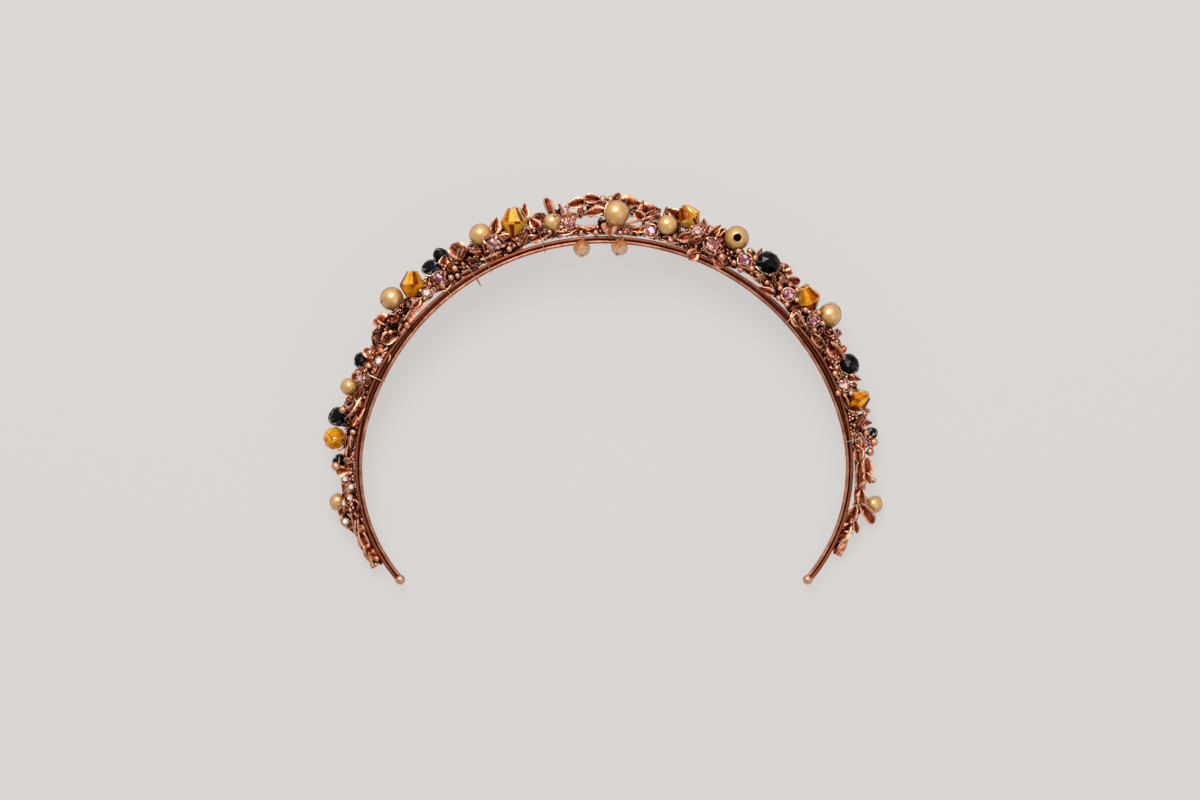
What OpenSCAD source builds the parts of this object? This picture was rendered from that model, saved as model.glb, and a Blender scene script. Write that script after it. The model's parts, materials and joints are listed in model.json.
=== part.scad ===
// Tiara: a double wire arch that carries a vine of cast copper leaves with pearls, cut beads and stones.
// The arch lies on its back, its front facing up, as it rests on a table.
// Every ornament is placed by its station, the angle along the arch from the crest, positive to the
// right, by its lift, the distance out from the band's inner edge, and by its depth, positive upwards.

/* [Band] */
// Inner radius of the arch
band_r = 66; // [62:0.5:72]
// Diameter of each of the two band wires
wire_d = 1; // [0.8:0.05:1.2]
// Middle to middle distance of the two wires at the crest
wire_step = 1.04; // [1.02:0.01:1.3]
// How far the outer wire's arc is shifted down, which parts the wires towards the sides
wire_spread = 2; // [1.6:0.1:2.2]
// Radius of the outer wire's shoulder, between its arc and its leg
shoulder_r = 55; // [53:1:57]
// Station where the legs start to bend inwards
leg_from = 75; // [70:1:80]
// Bending radius of the legs
leg_r = 45; // [40:1:55]
// Length of each leg's arc in degrees
leg_sweep = 56; // [45:1:60]
// Radius of the ball that closes each end
tip_r = 1.35; // [1.2:0.05:1.6]

/* [Vine] */
// Radius of the vine's stem
stem_r = 1; // [0.9:0.05:1.2]
// Radius of the back row's stem
back_stem_r = 0.6; // [0.5:0.05:0.8]
// Radius of an ornament's stalk
stalk_r = 0.4; // [0.35:0.05:0.5]
// Thickness of a leaf along its rib
leaf_t = 0.6; // [0.5:0.05:0.9]
// How far a leaf's rims stand up, as a share of its width
leaf_cup = 0.14; // [0.05:0.01:0.25]
// How far a leaf's tip hangs down, as a share of its length
leaf_sag = 0.12; // [0:0.01:0.2]

/* [Beads and wire] */
// Diameter of the gilt binding wire
gilt_d = 0.4; // [0.35:0.01:0.45]
// Diameter of the hole through a bead
hole_d = 0.8; // [0.7:0.05:0.9]
// Diameter of the wide hole that one pearl turns to the front
open_hole_d = 2.2; // [1.8:0.1:2.4]
// Gap between neighbouring pieces
gap = 0.15; // [0.1:0.01:0.2]
// Sides of a cut bead
bead_sides = 10; // [10:1:12]

/* [Rest] */
// How far the crest is raised when the tiara lies on its back
rest_tilt = 6.9; // [0:0.1:12]
// Sideways lean of the tiara at rest
rest_lean = 0.7; // [-3:0.1:3]
// Height of the arch's middle above the surface
rest_height = 7.17; // [0:0.01:20]

/* [Hidden] */
wire_r = wire_d / 2;
// Thickness of the solder round a joint of the band
solder_t = 0.1;
// How far the arcs of the band stop short of each other inside the solder, in degrees
short = 0.1;
// Radii of the middle lines of the inner and the outer wire
inner_mid = band_r + wire_r;
outer_mid = inner_mid + wire_step + wire_spread;
// Middle of the outer wire's arc, and of both wires' legs
arc_middle = [0, -wire_spread, 0];
leg_middle = [(band_r - leg_r) * sin(leg_from), (band_r - leg_r) * cos(leg_from), 0];
inner_leg = leg_r + wire_r;
outer_leg = inner_leg + wire_step;
leg_to = leg_from + leg_sweep;
// The shoulder touches the arc and the leg, so its middle is the third corner of a triangle
span_way = leg_middle - arc_middle;
span_length = norm(span_way);
span_station = atan2(span_way[0], span_way[1]);
from_arc = outer_mid - shoulder_r;
from_leg = shoulder_r - outer_leg;
shoulder_from = span_station - corner(from_arc, span_length, from_leg);
shoulder_to = span_station + corner(from_leg, span_length, from_arc);
shoulder_middle = arc_middle + from_arc * [sin(shoulder_from), cos(shoulder_from), 0];
// The room for the band in the castings: its last station and its number of steps
room_to = 114;
room_steps = 24;
gilt_r = gilt_d / 2;
// Ornaments deeper than this grow from the back stem
back_from = -3.9;
// How wide a leaf or a cup is round its base
leaf_reach = 0.1;
// How far a stalk's end is shifted from the place of its ornament
stalk_shift = [0.06, 0.09, -0.05];
// Place of a cup's foot below its stone, as a share of the stone's radius
cup_foot = 1.2;
// Claws of the cup of a small clear stone
small_claws = 3;
// A flat sided stem is this much thinner than round
stem_flat = 0.8;

// Beads. Columns: station, lift, depth, diameter, length, turn and lean of the hole, turn of the
// gilt loop round the hole, 0 for a loop over the front and 180 for one behind
PEARLS = [
    [-48.3, 11, -2.8, 6.4, 6.4, 60, 60, 180],
    [-68.4, 8.2, -3, 4.8, 4.8, 20, 70, 180],
    [-93, 6.3, -3, 4.4, 4.4, 80, 70, 90],
    [-26, 10.1, -1.5, 6.2, 6.2, 95, 80, 180],
    [-11, 7.2, -0.2, 4.6, 4.6, -35, 44, 150],
    [2.6, 8.2, 1.2, 7, 7, 20, 80, -60],
    [13.5, 7, 0.6, 5.4, 5.4, 90, 80, 180],
    [28, 10.5, -1.2, 6.6, 6.6, 0, 0, 180],
    [52.6, 10.9, -2.2, 6.4, 6.4, 60, 75, 110],
    [93.6, 7.4, -3.4, 4.6, 4.6, 80, 70, 90]
];
AMBERS = [
    [-79.6, 8.3, -3.8, 6.3, 6, 0, 8, 0],
    [-43.4, 9.5, -2.4, 6.9, 7.6, -43, 86, 180],
    [-18.9, 10, -3, 7, 7.8, -17, 84, 80],
    [17.5, 11, -5, 6.4, 6.8, 48, 80, 20],
    [47.2, 9.3, -2.6, 6.8, 7, 67, 66, 180],
    [71.2, 6.6, -2.4, 6, 6.6, 12, 78, -80]
];
BLACKS = [
    [-84.4, 6, -3, 4.1, 4.1, 90, 80, 0],
    [-75, 8.4, -2.6, 5.5, 5.5, 40, 70, 180],
    [-62.4, 8.1, -4, 4.6, 4.6, -40, 75, 180],
    [-38.2, 9.5, -2.4, 5.1, 5.1, 60, 75, -50],
    [-35.2, 11, -5.6, 4.4, 4.4, 0, 70, 180],
    [36, 9.2, -1.8, 6.6, 6.6, 120, 75, -60],
    [63.1, 8.1, -2, 5.8, 5.8, 130, 75, -60],
    [78.6, 8, -4.8, 3.6, 3.6, 20, 70, 180]
];
CHAMPAGNES = [
    [-5.3, -1.2, 2.9, 4.4, 4.2, 175, 60, 180],
    [3.7, -1, 2.9, 4.5, 4.2, 165, 60, 180]
];

// Cup stones. Columns: station, lift, depth, radius, turn and lean of the face, number of claws
STONES = [
    [-65.6, 5.9, -0.6, 1.3, 20, 20, 4],
    [-58.4, 5.2, -1.6, 1.1, 60, 30, 4],
    [-38.3, 6, 0.6, 1.6, 60, 25, 4],
    [-24.4, 6.1, 0.9, 2.3, 160, 40, 5],
    [-7.4, 5.9, 0.4, 1.1, -40, 15, 4],
    [10.4, 4.6, 0.5, 1.5, 0, 10, 4],
    [19.9, 7.8, 0.4, 1.6, 30, 35, 4],
    [24, 5.6, 0.9, 2, -20, 30, 5],
    [31.7, 6.3, 0.8, 1.6, 0, 5, 5],
    [43.6, 6.1, 0.6, 1.5, 30, 10, 5],
    [51.4, 6.4, 0.4, 1.4, 150, 15, 5],
    [56.6, 9.6, -3.2, 1.1, -80, 45, 4],
    [66.6, 4.8, -0.4, 1.7, 10, 15, 4],
    [80.2, 5.6, -2.4, 1.2, 30, 15, 4]
];

// Small clear stones, which face straight up. Columns: station, lift, depth, radius
CLEAR_STONES = [
    [-88, 4, -0.4, 0.7],
    [-89.8, 2.4, -0.3, 0.7],
    [-92.2, 2.8, -0.2, 0.7],
    [-93.4, 4.2, 0, 0.7],
    [-60.6, 3.9, -0.4, 1],
    [-42.3, 5.2, 0.9, 0.9]
];

// Height of the vine's middle line off the band's inner edge. Columns: station, lift
VINE_LIFT = [
    [-110, -0.8], [-104, 1], [-98, 2.3], [-92, 3.3], [-85, 3.3], [-78, 3.6], [-73, 4], [-67, 4.2],
    [-62, 3.9], [-57, 3.8], [-52, 4], [-46, 4.8], [-40, 4.6], [-34, 3.9], [-28, 3.7], [-22, 4.4],
    [-15, 4.9], [-8, 4.7], [-1, 4], [5, 4.4], [11, 5], [17, 4.5], [21, 4], [26, 4.2], [31, 4.6],
    [36, 4.6], [41, 4.6], [46, 4.4], [51, 4], [57, 4], [63, 3.8], [68, 2.8], [74, 2.8], [80, 4.4],
    [86, 4.4], [90, 3.6], [96, 2], [102, 0.6], [107, -0.4]
];
// Depth of the vine's middle line. Columns: station, depth
VINE_DEPTH = [
    [-110, -1.4], [-84, -1.7], [-76, -1.6], [-40, -1.2], [0, -1], [40, -1.2], [60, -1.7], [66, -1.9],
    [76, -1.9], [84, -1.8], [107, -1.4]
];

// Back stem, behind and above the vine. Columns: station, lift, depth
BACK_LIFT = [
    [-76, 5], [-60, 6.2], [-40, 7], [-25, 8.4], [-10, 8.8], [5, 8.8], [20, 8.2], [40, 8], [60, 6.4], [78, 5]
];
BACK_DEPTH = [
    [-76, -3.4], [-60, -5.4], [-40, -6.8], [-20, -8.4], [0, -9], [20, -8.4], [40, -6.8], [60, -5.4], [78, -3.6]
];

// Stations where each casting starts and ends
LEFT_VINE = [-109, -29.6];
CREST_VINE = [-29, 29];
RIGHT_VINE = [29.6, 106];
// The same for the back stem of each casting
LEFT_BACK = [-76, -32];
CREST_BACK = [-28, 28];
RIGHT_BACK = [32, 67];

// Leaves and petals. Columns: station, lift, depth, turn from outwards, pitch of the tip, roll,
// length, width, roundness, 0 for a pointed leaf and 1 for a round petal
LEFT_LEAVES = [
    [-98, 2.2, -0.4, 116, 4, 10, 8, 3.6, 1],
    [-103, 1.6, -0.4, 112, 4, -15, 7, 3.6, 0],
    [-94, 4.6, -1.2, 99, 0, 10, 7, 4.4, 0],
    [-86, 4.2, -1, 20, 10, 0, 3.6, 3.2, 1],
    [-83.6, 3.6, -0.4, -100, 0, 12, 5.4, 2.6, 0],
    [-81, 2.8, -0.4, -94, 0, 10, 8, 2.6, 1],
    [-75.6, 4.6, 0, -98, 4, -6, 8, 2.4, 1],
    [-70, 5, -1, 110, 10, 20, 4.4, 2.6, 0],
    [-64.6, 5.8, -2, 40, -8, 20, 3.8, 2.8, 1],
    [-60.6, 5.6, -1.6, -20, 10, 0, 3.4, 3, 1],
    [-56, 5.4, -1, 0, 0, 0, 4, 3.6, 1],
    [-53.4, 3.6, 0.2, 60, 10, 10, 4.6, 4, 1],
    [-52.4, 6.6, -1.8, 10, 0, 30, 4.4, 3.4, 1],
    [-51, 3.2, 0.2, -100, 4, 10, 8, 2.6, 1],
    [-47.4, 5, 0, -104, 8, 14, 6.4, 3.2, 0],
    [-36.6, 7.4, -2, -50, -5, 0, 4.6, 3, 0],
    [-33, 5.6, -1, 6, 8, 0, 5.4, 4.4, 1],
    [-34, 3, 0, -106, 0, 12, 5, 2.4, 0]
];
CREST_LEAVES = [
    [-28, 3, -0.1, -96, 4, 10, 7.4, 2.6, 1],
    [-23.2, 2.7, 0, -92, 0, 8, 7, 2.8, 0],
    [-20.4, 5.4, -0.6, 60, 10, 20, 4.4, 3.2, 0],
    [-16.4, 3.6, 0.2, -86, 2, 10, 6, 2.2, 0],
    [-14, 5.8, -1, 30, 0, 10, 4.6, 3, 0],
    [-6.6, 4.6, 0, 88, 0, 14, 6, 2, 0],
    [-4, 3.4, 0.4, -92, 0, 10, 6.4, 1.9, 0],
    [1.1, 5.7, 1.3, -179, -14, 0, 4.6, 4.5, 0],
    [6, 4, 0.4, -82, 4, 0, 7, 1.9, 0],
    [8.6, 7, 0, 60, 12, 10, 4.4, 3, 0],
    [8.4, 7, -0.8, -35, 8, 30, 4.6, 2.6, 0],
    [19, 3.8, 0.4, -30, 30, 40, 4, 3.2, 1],
    [21.4, 3, 0.4, 160, 20, 0, 3.4, 3.4, 1],
    [22.6, 7.2, -1, -30, 0, 20, 5, 3, 0],
    [25.4, 3.4, 0.4, -120, 10, 20, 3.8, 2.8, 1]
];
RIGHT_LEAVES = [
    [33.4, 4, -0.4, -80, 0, -10, 6, 2.4, 0],
    [37, 4.6, -0.6, -100, 8, 14, 6.4, 3, 0],
    [47, 3.4, 0.2, -100, 8, 10, 4.6, 3.4, 1],
    [53.6, 4, 0, -90, 5, 15, 6.4, 3.2, 0],
    [54.6, 9, -2.8, -118, 0, 14, 7.4, 3.6, 0],
    [57, 5.8, -0.2, -76, 6, 10, 8.2, 4, 0],
    [59.4, 3.4, -0.2, -92, 0, -14, 6.4, 2.4, 0],
    [68.4, 3, -0.6, -92, 4, 10, 6.6, 2.8, 0],
    [73.6, 4.4, -0.8, -98, 0, 14, 5.6, 3.6, 0],
    [82.4, 4, -1, -94, 0, 16, 6.4, 3.2, 0],
    [87.6, 4.4, -1, -110, 5, -20, 5.4, 3.4, 0],
    [91.6, 4.8, -1.2, -78, 0, 10, 7, 4.6, 1],
    [93.4, 2.6, -0.6, -110, 0, 12, 6, 3.2, 1],
    [97.4, 2.2, -0.4, -120, 4, -10, 6, 3, 0],
    [99.6, 1.6, -0.2, -112, 6, 0, 6.6, 4.4, 1],
    [103, 0.9, -0.4, -108, 0, 10, 6, 2.8, 0]
];
// Leaves of the back row, with the same columns
LEFT_BACK_LEAVES = [
    [-88, 3.4, -2, 10, -74, 0, 6.4, 3.2, 0],
    [-72, 5.6, -3.6, 20, -40, 20, 5.4, 3.2, 0],
    [-58, 6.4, -5.4, 30, -60, 0, 5.6, 3.2, 0],
    [-44, 7.2, -6.6, -40, -40, -20, 6, 3.4, 0],
    [-38.6, 7.6, -7, 20, -70, 0, 6.6, 3.8, 0],
    [-34, 8, -7.4, -30, -50, 20, 5.4, 3.4, 1]
];
CREST_BACK_LEAVES = [
    [-23.4, 9.2, -6.6, -38, -10, 20, 4.8, 3.6, 0],
    [-19.6, 8.6, -8, 10, -70, 10, 7, 4, 0],
    [-17, 9.4, -7, -25, 0, 20, 5.4, 3.4, 0],
    [-11, 9, -7.4, 0, 6, 30, 5.4, 2.8, 1],
    [-13.4, 9, -8.4, 40, -60, 0, 6.4, 3.8, 0],
    [-6, 9.4, -8.4, 66, 0, 30, 6, 3.4, 0],
    [-1, 9.2, -10, 0, -70, 0, 6.6, 4, 0],
    [7, 9.4, -8.4, -66, 0, -20, 6.4, 4.6, 0],
    [15.2, 9.6, -8.2, 72, 0, 20, 6, 4, 0],
    [15, 8.6, -8.6, -10, -70, 10, 7, 4, 0],
    [21.4, 8.6, -8, 30, -50, -10, 6, 3.6, 0],
    [25.6, 8.6, -7, -40, -10, 10, 5, 3.4, 0]
];
RIGHT_BACK_LEAVES = [
    [37.6, 8.2, -7, -30, -60, 0, 6.6, 3.6, 0],
    [41, 8.2, -6.2, -50, -10, 10, 5, 3, 1],
    [44.6, 7.8, -6.6, 30, -60, 0, 6.2, 3.6, 0],
    [54, 7, -5.8, 20, -60, 10, 6, 3.6, 0],
    [60, 6.4, -5.4, -20, -40, 20, 5.4, 3.2, 0],
    [65, 6.4, -4.6, -76, -6, 10, 4.4, 2.6, 0],
    [66.6, 6, -4.4, 30, -50, 0, 4.4, 2.6, 0]
];

// Balls, buds and berries. Columns: station, lift, depth, radius
LEFT_BALLS = [
    [-95, 4.2, -1.6, 1], [-85.4, 6.6, -1, 1.3], [-77.4, 3.4, 0.6, 0.9], [-73.4, 7.6, -0.4, 1.1],
    [-60, 7, -2, 1.2], [-38.6, 4, 0.6, 1], [-36.8, 6, 0, 1], [-34.2, 5.6, 0.4, 1]
];
CREST_BALLS = [
    [-21.6, 3.4, 0.8, 0.9], [3.6, 3, 0.8, 0.8], [15, 3.2, 0.4, 0.9], [27, 3.9, 0.8, 1.2]
];
RIGHT_BALLS = [
    [41, 6.4, -0.4, 0.8], [48.6, 6.6, 0, 0.9], [63.6, 3.6, 0.2, 0.9], [74.2, 7.4, -2, 0.8],
    [78.2, 6.4, -2.6, 1.1], [80.4, 8.2, -2.6, 1.1], [82.4, 6.8, -2.6, 1.1], [104, 1.8, -0.4, 1.2]
];

// Twigs between two places. Columns: station, lift, depth of each end, radius
LEFT_TWIGS = [
    [-71, 4.6, -1.8, -73.4, 7.4, -0.6, 0.45], [-53, 4.4, -1.6, -51, 7.2, -6, 0.6],
    [-40, 5.4, -1.6, -41, 7.2, -6.6, 0.6], [-33, 4.4, -1.4, -33, 8, -7.2, 0.6]
];
CREST_TWIGS = [
    [-24.4, 4.2, -1.4, -24, 8.4, -8, 0.6], [-16, 5, -1.4, -15, 9, -8.4, 0.6],
    [-11, 5, -1.2, -11, 6.4, -1.6, 0.5], [-8, 4.8, -1.4, -7, 9, -8.6, 0.6],
    [0, 4.4, -1.6, 1, 9, -9, 0.65], [3, 4.6, 0.4, 8.2, 7.2, 0.2, 0.4],
    [8.2, 7.2, 0.2, 11.2, 9.4, -0.6, 0.4], [10, 5, -1.4, 10, 9, -8.8, 0.6],
    [25, 4.6, -1.4, 24, 8.6, -7.6, 0.6], [1.5, 3.8, -1.2, 1.5, 3.3, 0.5, 0.45],
    [27, 4.2, -1.2, 28, 9, -1.2, 0.6], [17, 8.4, -8.4, 17.6, 10.6, -6, 0.6]
];
RIGHT_TWIGS = [
    [38, 5.2, -1.6, 39, 8.2, -6.6, 0.6], [47, 4.8, -1.6, 47, 7.6, -6.2, 0.6],
    [44.4, 7.6, -5.6, 45.2, 11.6, -5, 0.6], [56, 4.6, -1.6, 57, 7, -5.6, 0.6],
    [77, 4.2, -1.9, 74, 8.9, -2.8, 0.5]
];

// Round flowers of five petals. Columns: station, lift, depth, radius, turn, lean
LEFT_FLOWERS = [[-55.6, 8, -4, 2.9, 0, 50], [-36, 4.6, 0.4, 2.6, 8, 10]];
CREST_FLOWERS = [[-1.6, 11.4, -9, 3.9, 0, 30], [20.9, 3.2, -0.2, 2.6, 20, 20], [5.4, 10.6, -8.6, 3, -30, 40]];
RIGHT_FLOWERS = [[39.6, 10.2, -6, 2.8, 0, 40], [58, 7.4, -5.4, 2.8, 0, 50]];

// Stations of the gilt loops round the band and the vine
LEFT_BINDS = [-99, -64.4, -45];
CREST_BINDS = [-14.3, 26];
RIGHT_BINDS = [47.6, 61, 79, 100];

function names(stem, rows) = [for (i = [1:len(rows)]) str(stem, "_", i)];

// A point on the arch from its station, lift and depth
function on_arch(p) = [
    (band_r + p[1]) * sin(p[0]),
    (band_r + p[1]) * cos(p[0]),
    p[2]
];

// The way that an axis points which leans off straight up by lean, towards turn
function axis_at(station, turn, lean) = [
    sin(lean) * sin(station - turn),
    sin(lean) * cos(station - turn),
    cos(lean)
];

function unit(v) = v / norm(v);

// Angle between the sides a and b of a triangle whose third side is c
function corner(a, b, c) = acos((a * a + b * b - c * c) / (2 * a * b));

// A ring of points round a centre, across the way t
function ring(c, t, r, sides) =
    let (
        ref = abs(t[2]) < 0.8 ? [0, 0, 1] : [1, 0, 0],
        u = unit(cross(ref, t)),
        v = cross(t, u)
    )
    [for (k = [0:sides - 1]) c + r * (cos(360 * k / sides) * u + sin(360 * k / sides) * v)];

// A closed skin over rings of points, each counterclockwise seen from the far end.
// The last ring may be a single point, where the shape ends in a tip.
module skin(rings) {
    n = len(rings);
    m = len(rings[0]);
    tipped = len(rings[n - 1]) == 1;
    walls = tipped ? n - 3 : n - 2;
    last = (n - 1) * m;
    polyhedron(
        points = [for (r = rings) each r],
        faces = concat(
            [[for (k = [0:m - 1]) k]],
            [for (i = [0:walls]) for (k = [0:m - 1])
                each [[i * m + k, (i + 1) * m + k, (i + 1) * m + (k + 1) % m],
                      [i * m + k, (i + 1) * m + (k + 1) % m, i * m + (k + 1) % m]]],
            tipped
                ? [for (k = [0:m - 1]) [last - m + k, last, last - m + (k + 1) % m]]
                : [[for (k = [m - 1:-1:0]) last + k]]
        )
    );
}

// A closed loop of tube over rings, joined end to end
module loop_skin(rings) {
    n = len(rings);
    m = len(rings[0]);
    polyhedron(
        points = [for (r = rings) each r],
        faces = [for (i = [0:n - 1]) for (k = [0:m - 1])
            each [[i * m + k, ((i + 1) % n) * m + k, ((i + 1) % n) * m + (k + 1) % m],
                  [i * m + k, ((i + 1) % n) * m + (k + 1) % m, i * m + (k + 1) % m]]]
    );
}

// A closed loop of wire in the plane across the way n
module wire_loop(pts, n, r, sides) {
    count = len(pts);
    loop_skin([
        for (i = [0:count - 1])
            let (
                t = unit(pts[(i + 1) % count] - pts[(i + count - 1) % count]),
                u = unit(cross(n, t)),
                v = cross(t, u)
            )
            [for (k = [0:sides - 1]) pts[i] + r * (cos(360 * k / sides) * u + sin(360 * k / sides) * v)]
    ]);
}

module tube(pts, r, sides) {
    n = len(pts);
    skin([
        for (i = [0:n - 1])
            ring(pts[i], unit(pts[min(i + 1, n - 1)] - pts[max(i - 1, 0)]), r, sides)
    ]);
}

// Moves a shape that points outwards to its place on the arch
module place(p) {
    rotate([0, 0, -p[0]]) translate([0, band_r + p[1], p[2]]) children();
}

// Turns a shape that faces straight up towards its lean
module face_to(turn, lean) {
    rotate([0, 0, turn]) rotate([-lean, 0, 0]) children();
}

// The whole tiara as it lies
module lay() {
    translate([0, 0, rest_height]) rotate([rest_tilt, rest_lean, 0]) children();
}

// Section widths along a pointed leaf and along a round petal. Columns: place, half width
LEAF_FORM = [[0, 0.4], [0.42, 1], [1, 0]];
PETAL_FORM = [[0, 0.4], [0.55, 1], [1, 0.5]];

module leaf(length, width, round_tip) {
    form = round_tip > 0.5 ? PETAL_FORM : LEAF_FORM;
    rim = leaf_cup * width;
    skin([
        for (f = form)
            let (
                y = f[0] * length,
                x = f[1] * width / 2,
                sag = leaf_sag * length * f[0] * f[0],
                z = rim * f[1] - sag
            )
            f[1] == 0
                ? [[0, y, -sag]]
                : [[-x, y, z], [0, y, leaf_t / 3 - sag], [x, y, z], [0, y, -leaf_t * 2 / 3 - sag]]
    ]);
}

module leaf_row(p) {
    place(p) rotate([0, 0, p[3]]) rotate([p[4], p[5], 0]) leaf(p[6], p[7], p[8]);
}

// Middle of the stem that an ornament grows from: the back stem if it sits far back
function stem_at(p) = p[2] < back_from
    ? on_arch([p[0], lookup(p[0], BACK_LIFT), lookup(p[0], BACK_DEPTH)])
    : on_arch([p[0], lookup(p[0], VINE_LIFT), lookup(p[0], VINE_DEPTH)]);

// The stalk of an ornament that would not reach its stem, being only reach wide round its base.
// It ends a little off the ornament's own place, so that no corner of one lies on a face of the other.
module stalk(p, base, reach) {
    foot = stem_at(p);
    thick = p[2] < back_from ? back_stem_r : stem_r;
    if (norm(base - foot) > stem_flat * thick + reach)
        hull() tube([foot, base + stalk_shift], stalk_r, 3);
}

module ball_row(p) {
    translate(on_arch(p)) sphere(r = p[3], $fn = 5);
}

module twig_row(p) {
    hull() tube([on_arch(p), on_arch([p[3], p[4], p[5]])], p[6], 4);
}

// Rings of a five petalled flower. Columns: height, radius at a petal, radius between petals
FLOWER_FORM = [[-0.3, 0.3, 0.3], [0.1, 1, 0.62], [0.34, 0.94, 0.56], [0, 0.34, 0.3], [0.28, 0.16, 0.16]];

module flower_row(p) {
    place(p) face_to(p[4], p[5])
        skin([
            for (f = FLOWER_FORM)
                [for (k = [0:9])
                    let (r = p[3] * (k % 2 == 0 ? f[1] : f[2]))
                    [r * cos(36 * k), r * sin(36 * k), p[3] * f[0]]]
        ]);
}

// The vine's stem between two stations
module stem(span) {
    step = 9;
    count = ceil((span[1] - span[0]) / step);
    tube([
        for (i = [0:count])
            let (s = span[0] + (span[1] - span[0]) * i / count)
            on_arch([s, lookup(s, VINE_LIFT), lookup(s, VINE_DEPTH)])
    ], stem_r, 4);
}

// The single stem of the back row
module back_stem(span) {
    step = 11;
    count = ceil((span[1] - span[0]) / step);
    tube([
        for (i = [0:count])
            let (s = span[0] + (span[1] - span[0]) * i / count)
            on_arch([s, lookup(s, BACK_LIFT), lookup(s, BACK_DEPTH)])
    ], back_stem_r, 4);
}

// Cut stone, its table up. Columns: height and radius as shares of its radius, turn of the facets
CUT = [[-0.75, 0.12, 0], [-0.02, 1, 0], [0.4, 0.6, 22.5]];

module cut_stone(r, grow = 0) {
    skin([
        for (c = CUT)
            [for (k = [0:7])
                let (a = 45 * k + c[2], rr = c[1] * r + grow)
                [rr * cos(a), rr * sin(a), c[0] * r + sign(c[0]) * grow]]
    ]);
}

// Rings of the cup under a stone: the claws stand up between lower stretches of its rim.
// Columns: height at a claw, height between claws, radius to its flats, as shares of the stone's radius
CUP_FORM = [
    [-1.25, -1.25, 0.6], [0.5, -0.02, 1.36], [0.55, 0.03, 1.12], [-0.14, -0.14, 1.12], [-0.98, -0.98, 0.36]
];

module cup(r, claws) {
    skin([
        for (c = CUP_FORM)
            [for (k = [0:2 * claws - 1])
                let (a = 180 * k / claws, rr = c[2] * r / cos(90 / claws))
                [rr * cos(a), rr * sin(a), r * (k % 2 == 0 ? c[0] : c[1])]]
    ]);
}

// Rings of a round bead cut with facets. Columns: height and radius, as shares of its radius
ROUND_FORM = [[-0.9, 0.42], [-0.38, 0.94], [0.38, 0.94], [0.9, 0.42]];
// The same for a bicone bead. Columns: height as a share of half its length, radius
BICONE_FORM = [[-1, 0.36], [-0.1, 1], [0.1, 1], [1, 0.36]];

module cut_bead(form, d, length) {
    difference() {
        skin([
            for (i = [0:len(form) - 1])
                [for (k = [0:bead_sides - 1])
                    let (a = 360 * (k + (i % 2) / 2) / bead_sides, rr = form[i][1] * d / 2)
                    [rr * cos(a), rr * sin(a), form[i][0] * length / 2]]
        ]);
        cylinder(d = hole_d, h = 2 * length, center = true, $fn = 24);
    }
}

module bead_place(p) {
    place(p) face_to(p[5], p[6]) children();
}

module pearl(i) {
    p = PEARLS[i];
    bore = p[6] == 0 ? open_hole_d : hole_d;
    color("goldenrod") lay() bead_place(p)
        difference() {
            sphere(d = p[3], $fn = 48);
            cylinder(d = bore, h = 2 * p[4], center = true, $fn = 32);
        }
}

module amber(i) {
    p = AMBERS[i];
    color("orange") lay() bead_place(p) cut_bead(BICONE_FORM, p[3], p[4]);
}

module black(i) {
    p = BLACKS[i];
    color("black") lay() bead_place(p) cut_bead(ROUND_FORM, p[3], p[4]);
}

module champagne(i) {
    p = CHAMPAGNES[i];
    color("bisque") lay() bead_place(p) cut_bead(ROUND_FORM, p[3], p[4]);
}

module stone(i) {
    p = STONES[i];
    color("pink") lay() place(p) face_to(p[4], p[5]) cut_stone(p[3]);
}

module clear_stones() {
    color("white") lay()
        for (p = CLEAR_STONES)
            place(p) cut_stone(p[3]);
}

// Rings of the pocket cut for a bead. Columns: height as a share of half its length, radius, turn
POCKET_FORM = [[-1, 0.68, 30], [0, 1.22, 0], [1, 0.68, 30]];

module pocket(d, length) {
    skin([
        for (f = POCKET_FORM)
            [for (k = [0:5])
                let (a = 60 * k + f[2], rr = f[1] * d / 2 + gap)
                [rr * cos(a), rr * sin(a), f[0] * (length / 2 + 2 * gap)]]
    ]);
}

// Room for a stone inside its cup, and the way up out of it. Columns: height, radius, turn
STONE_ROOM = [[-0.84, 0.2, 22.5], [-0.06, 1.05, 0], [1, 1.05, 22.5]];

module stone_room(r) {
    skin([
        for (f = STONE_ROOM)
            [for (k = [0:7]) [f[1] * r * cos(45 * k + f[2]), f[1] * r * sin(45 * k + f[2]), f[0] * r]]
    ]);
}

// Room that the beads and stones need in the castings
module seats() {
    for (p = concat(PEARLS, AMBERS, BLACKS, CHAMPAGNES))
        bead_place(p) pocket(p[3], p[4]);
    for (p = STONES)
        place(p) face_to(p[4], p[5]) stone_room(p[3]);
    for (p = CLEAR_STONES)
        place(p) stone_room(p[3]);
}

// Places round half a gilt loop, in degrees, and the angle from one to the next
LOOP_TURNS = [90, 45, 0, -45, -90];
loop_step = 45;

// The gilt loop that runs through a bead and back over its side
module bead_loop(d, length, r, sides) {
    reach = (d / 2 + gilt_r + gap) / cos(loop_step / 2);
    wire_loop([for (a = LOOP_TURNS) [0, -reach * cos(a), reach * length / d * sin(a)]], [1, 0, 0], r, sides);
}

// A gilt loop round the band and the vine at one station
module bind_loop(station, r, sides) {
    top = lookup(station, VINE_LIFT) + stem_r + gilt_r + gap;
    low = inner_reach(station) - band_r - wire_r - gilt_r - gap;
    half = wire_r + gilt_r + gap;
    deep = stem_r + gilt_r + gap - lookup(station, VINE_DEPTH);
    wire_loop([
        on_arch([station, low, half * 0.5]),
        on_arch([station, (low + top) / 2, half + 0.5]),
        on_arch([station, top, half * 0.5]),
        on_arch([station, top, -deep * 0.6]),
        on_arch([station, (low + top) / 2, -deep]),
        on_arch([station, low, -half])
    ], [cos(station), -sin(station), 0], r, sides);
}

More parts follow.
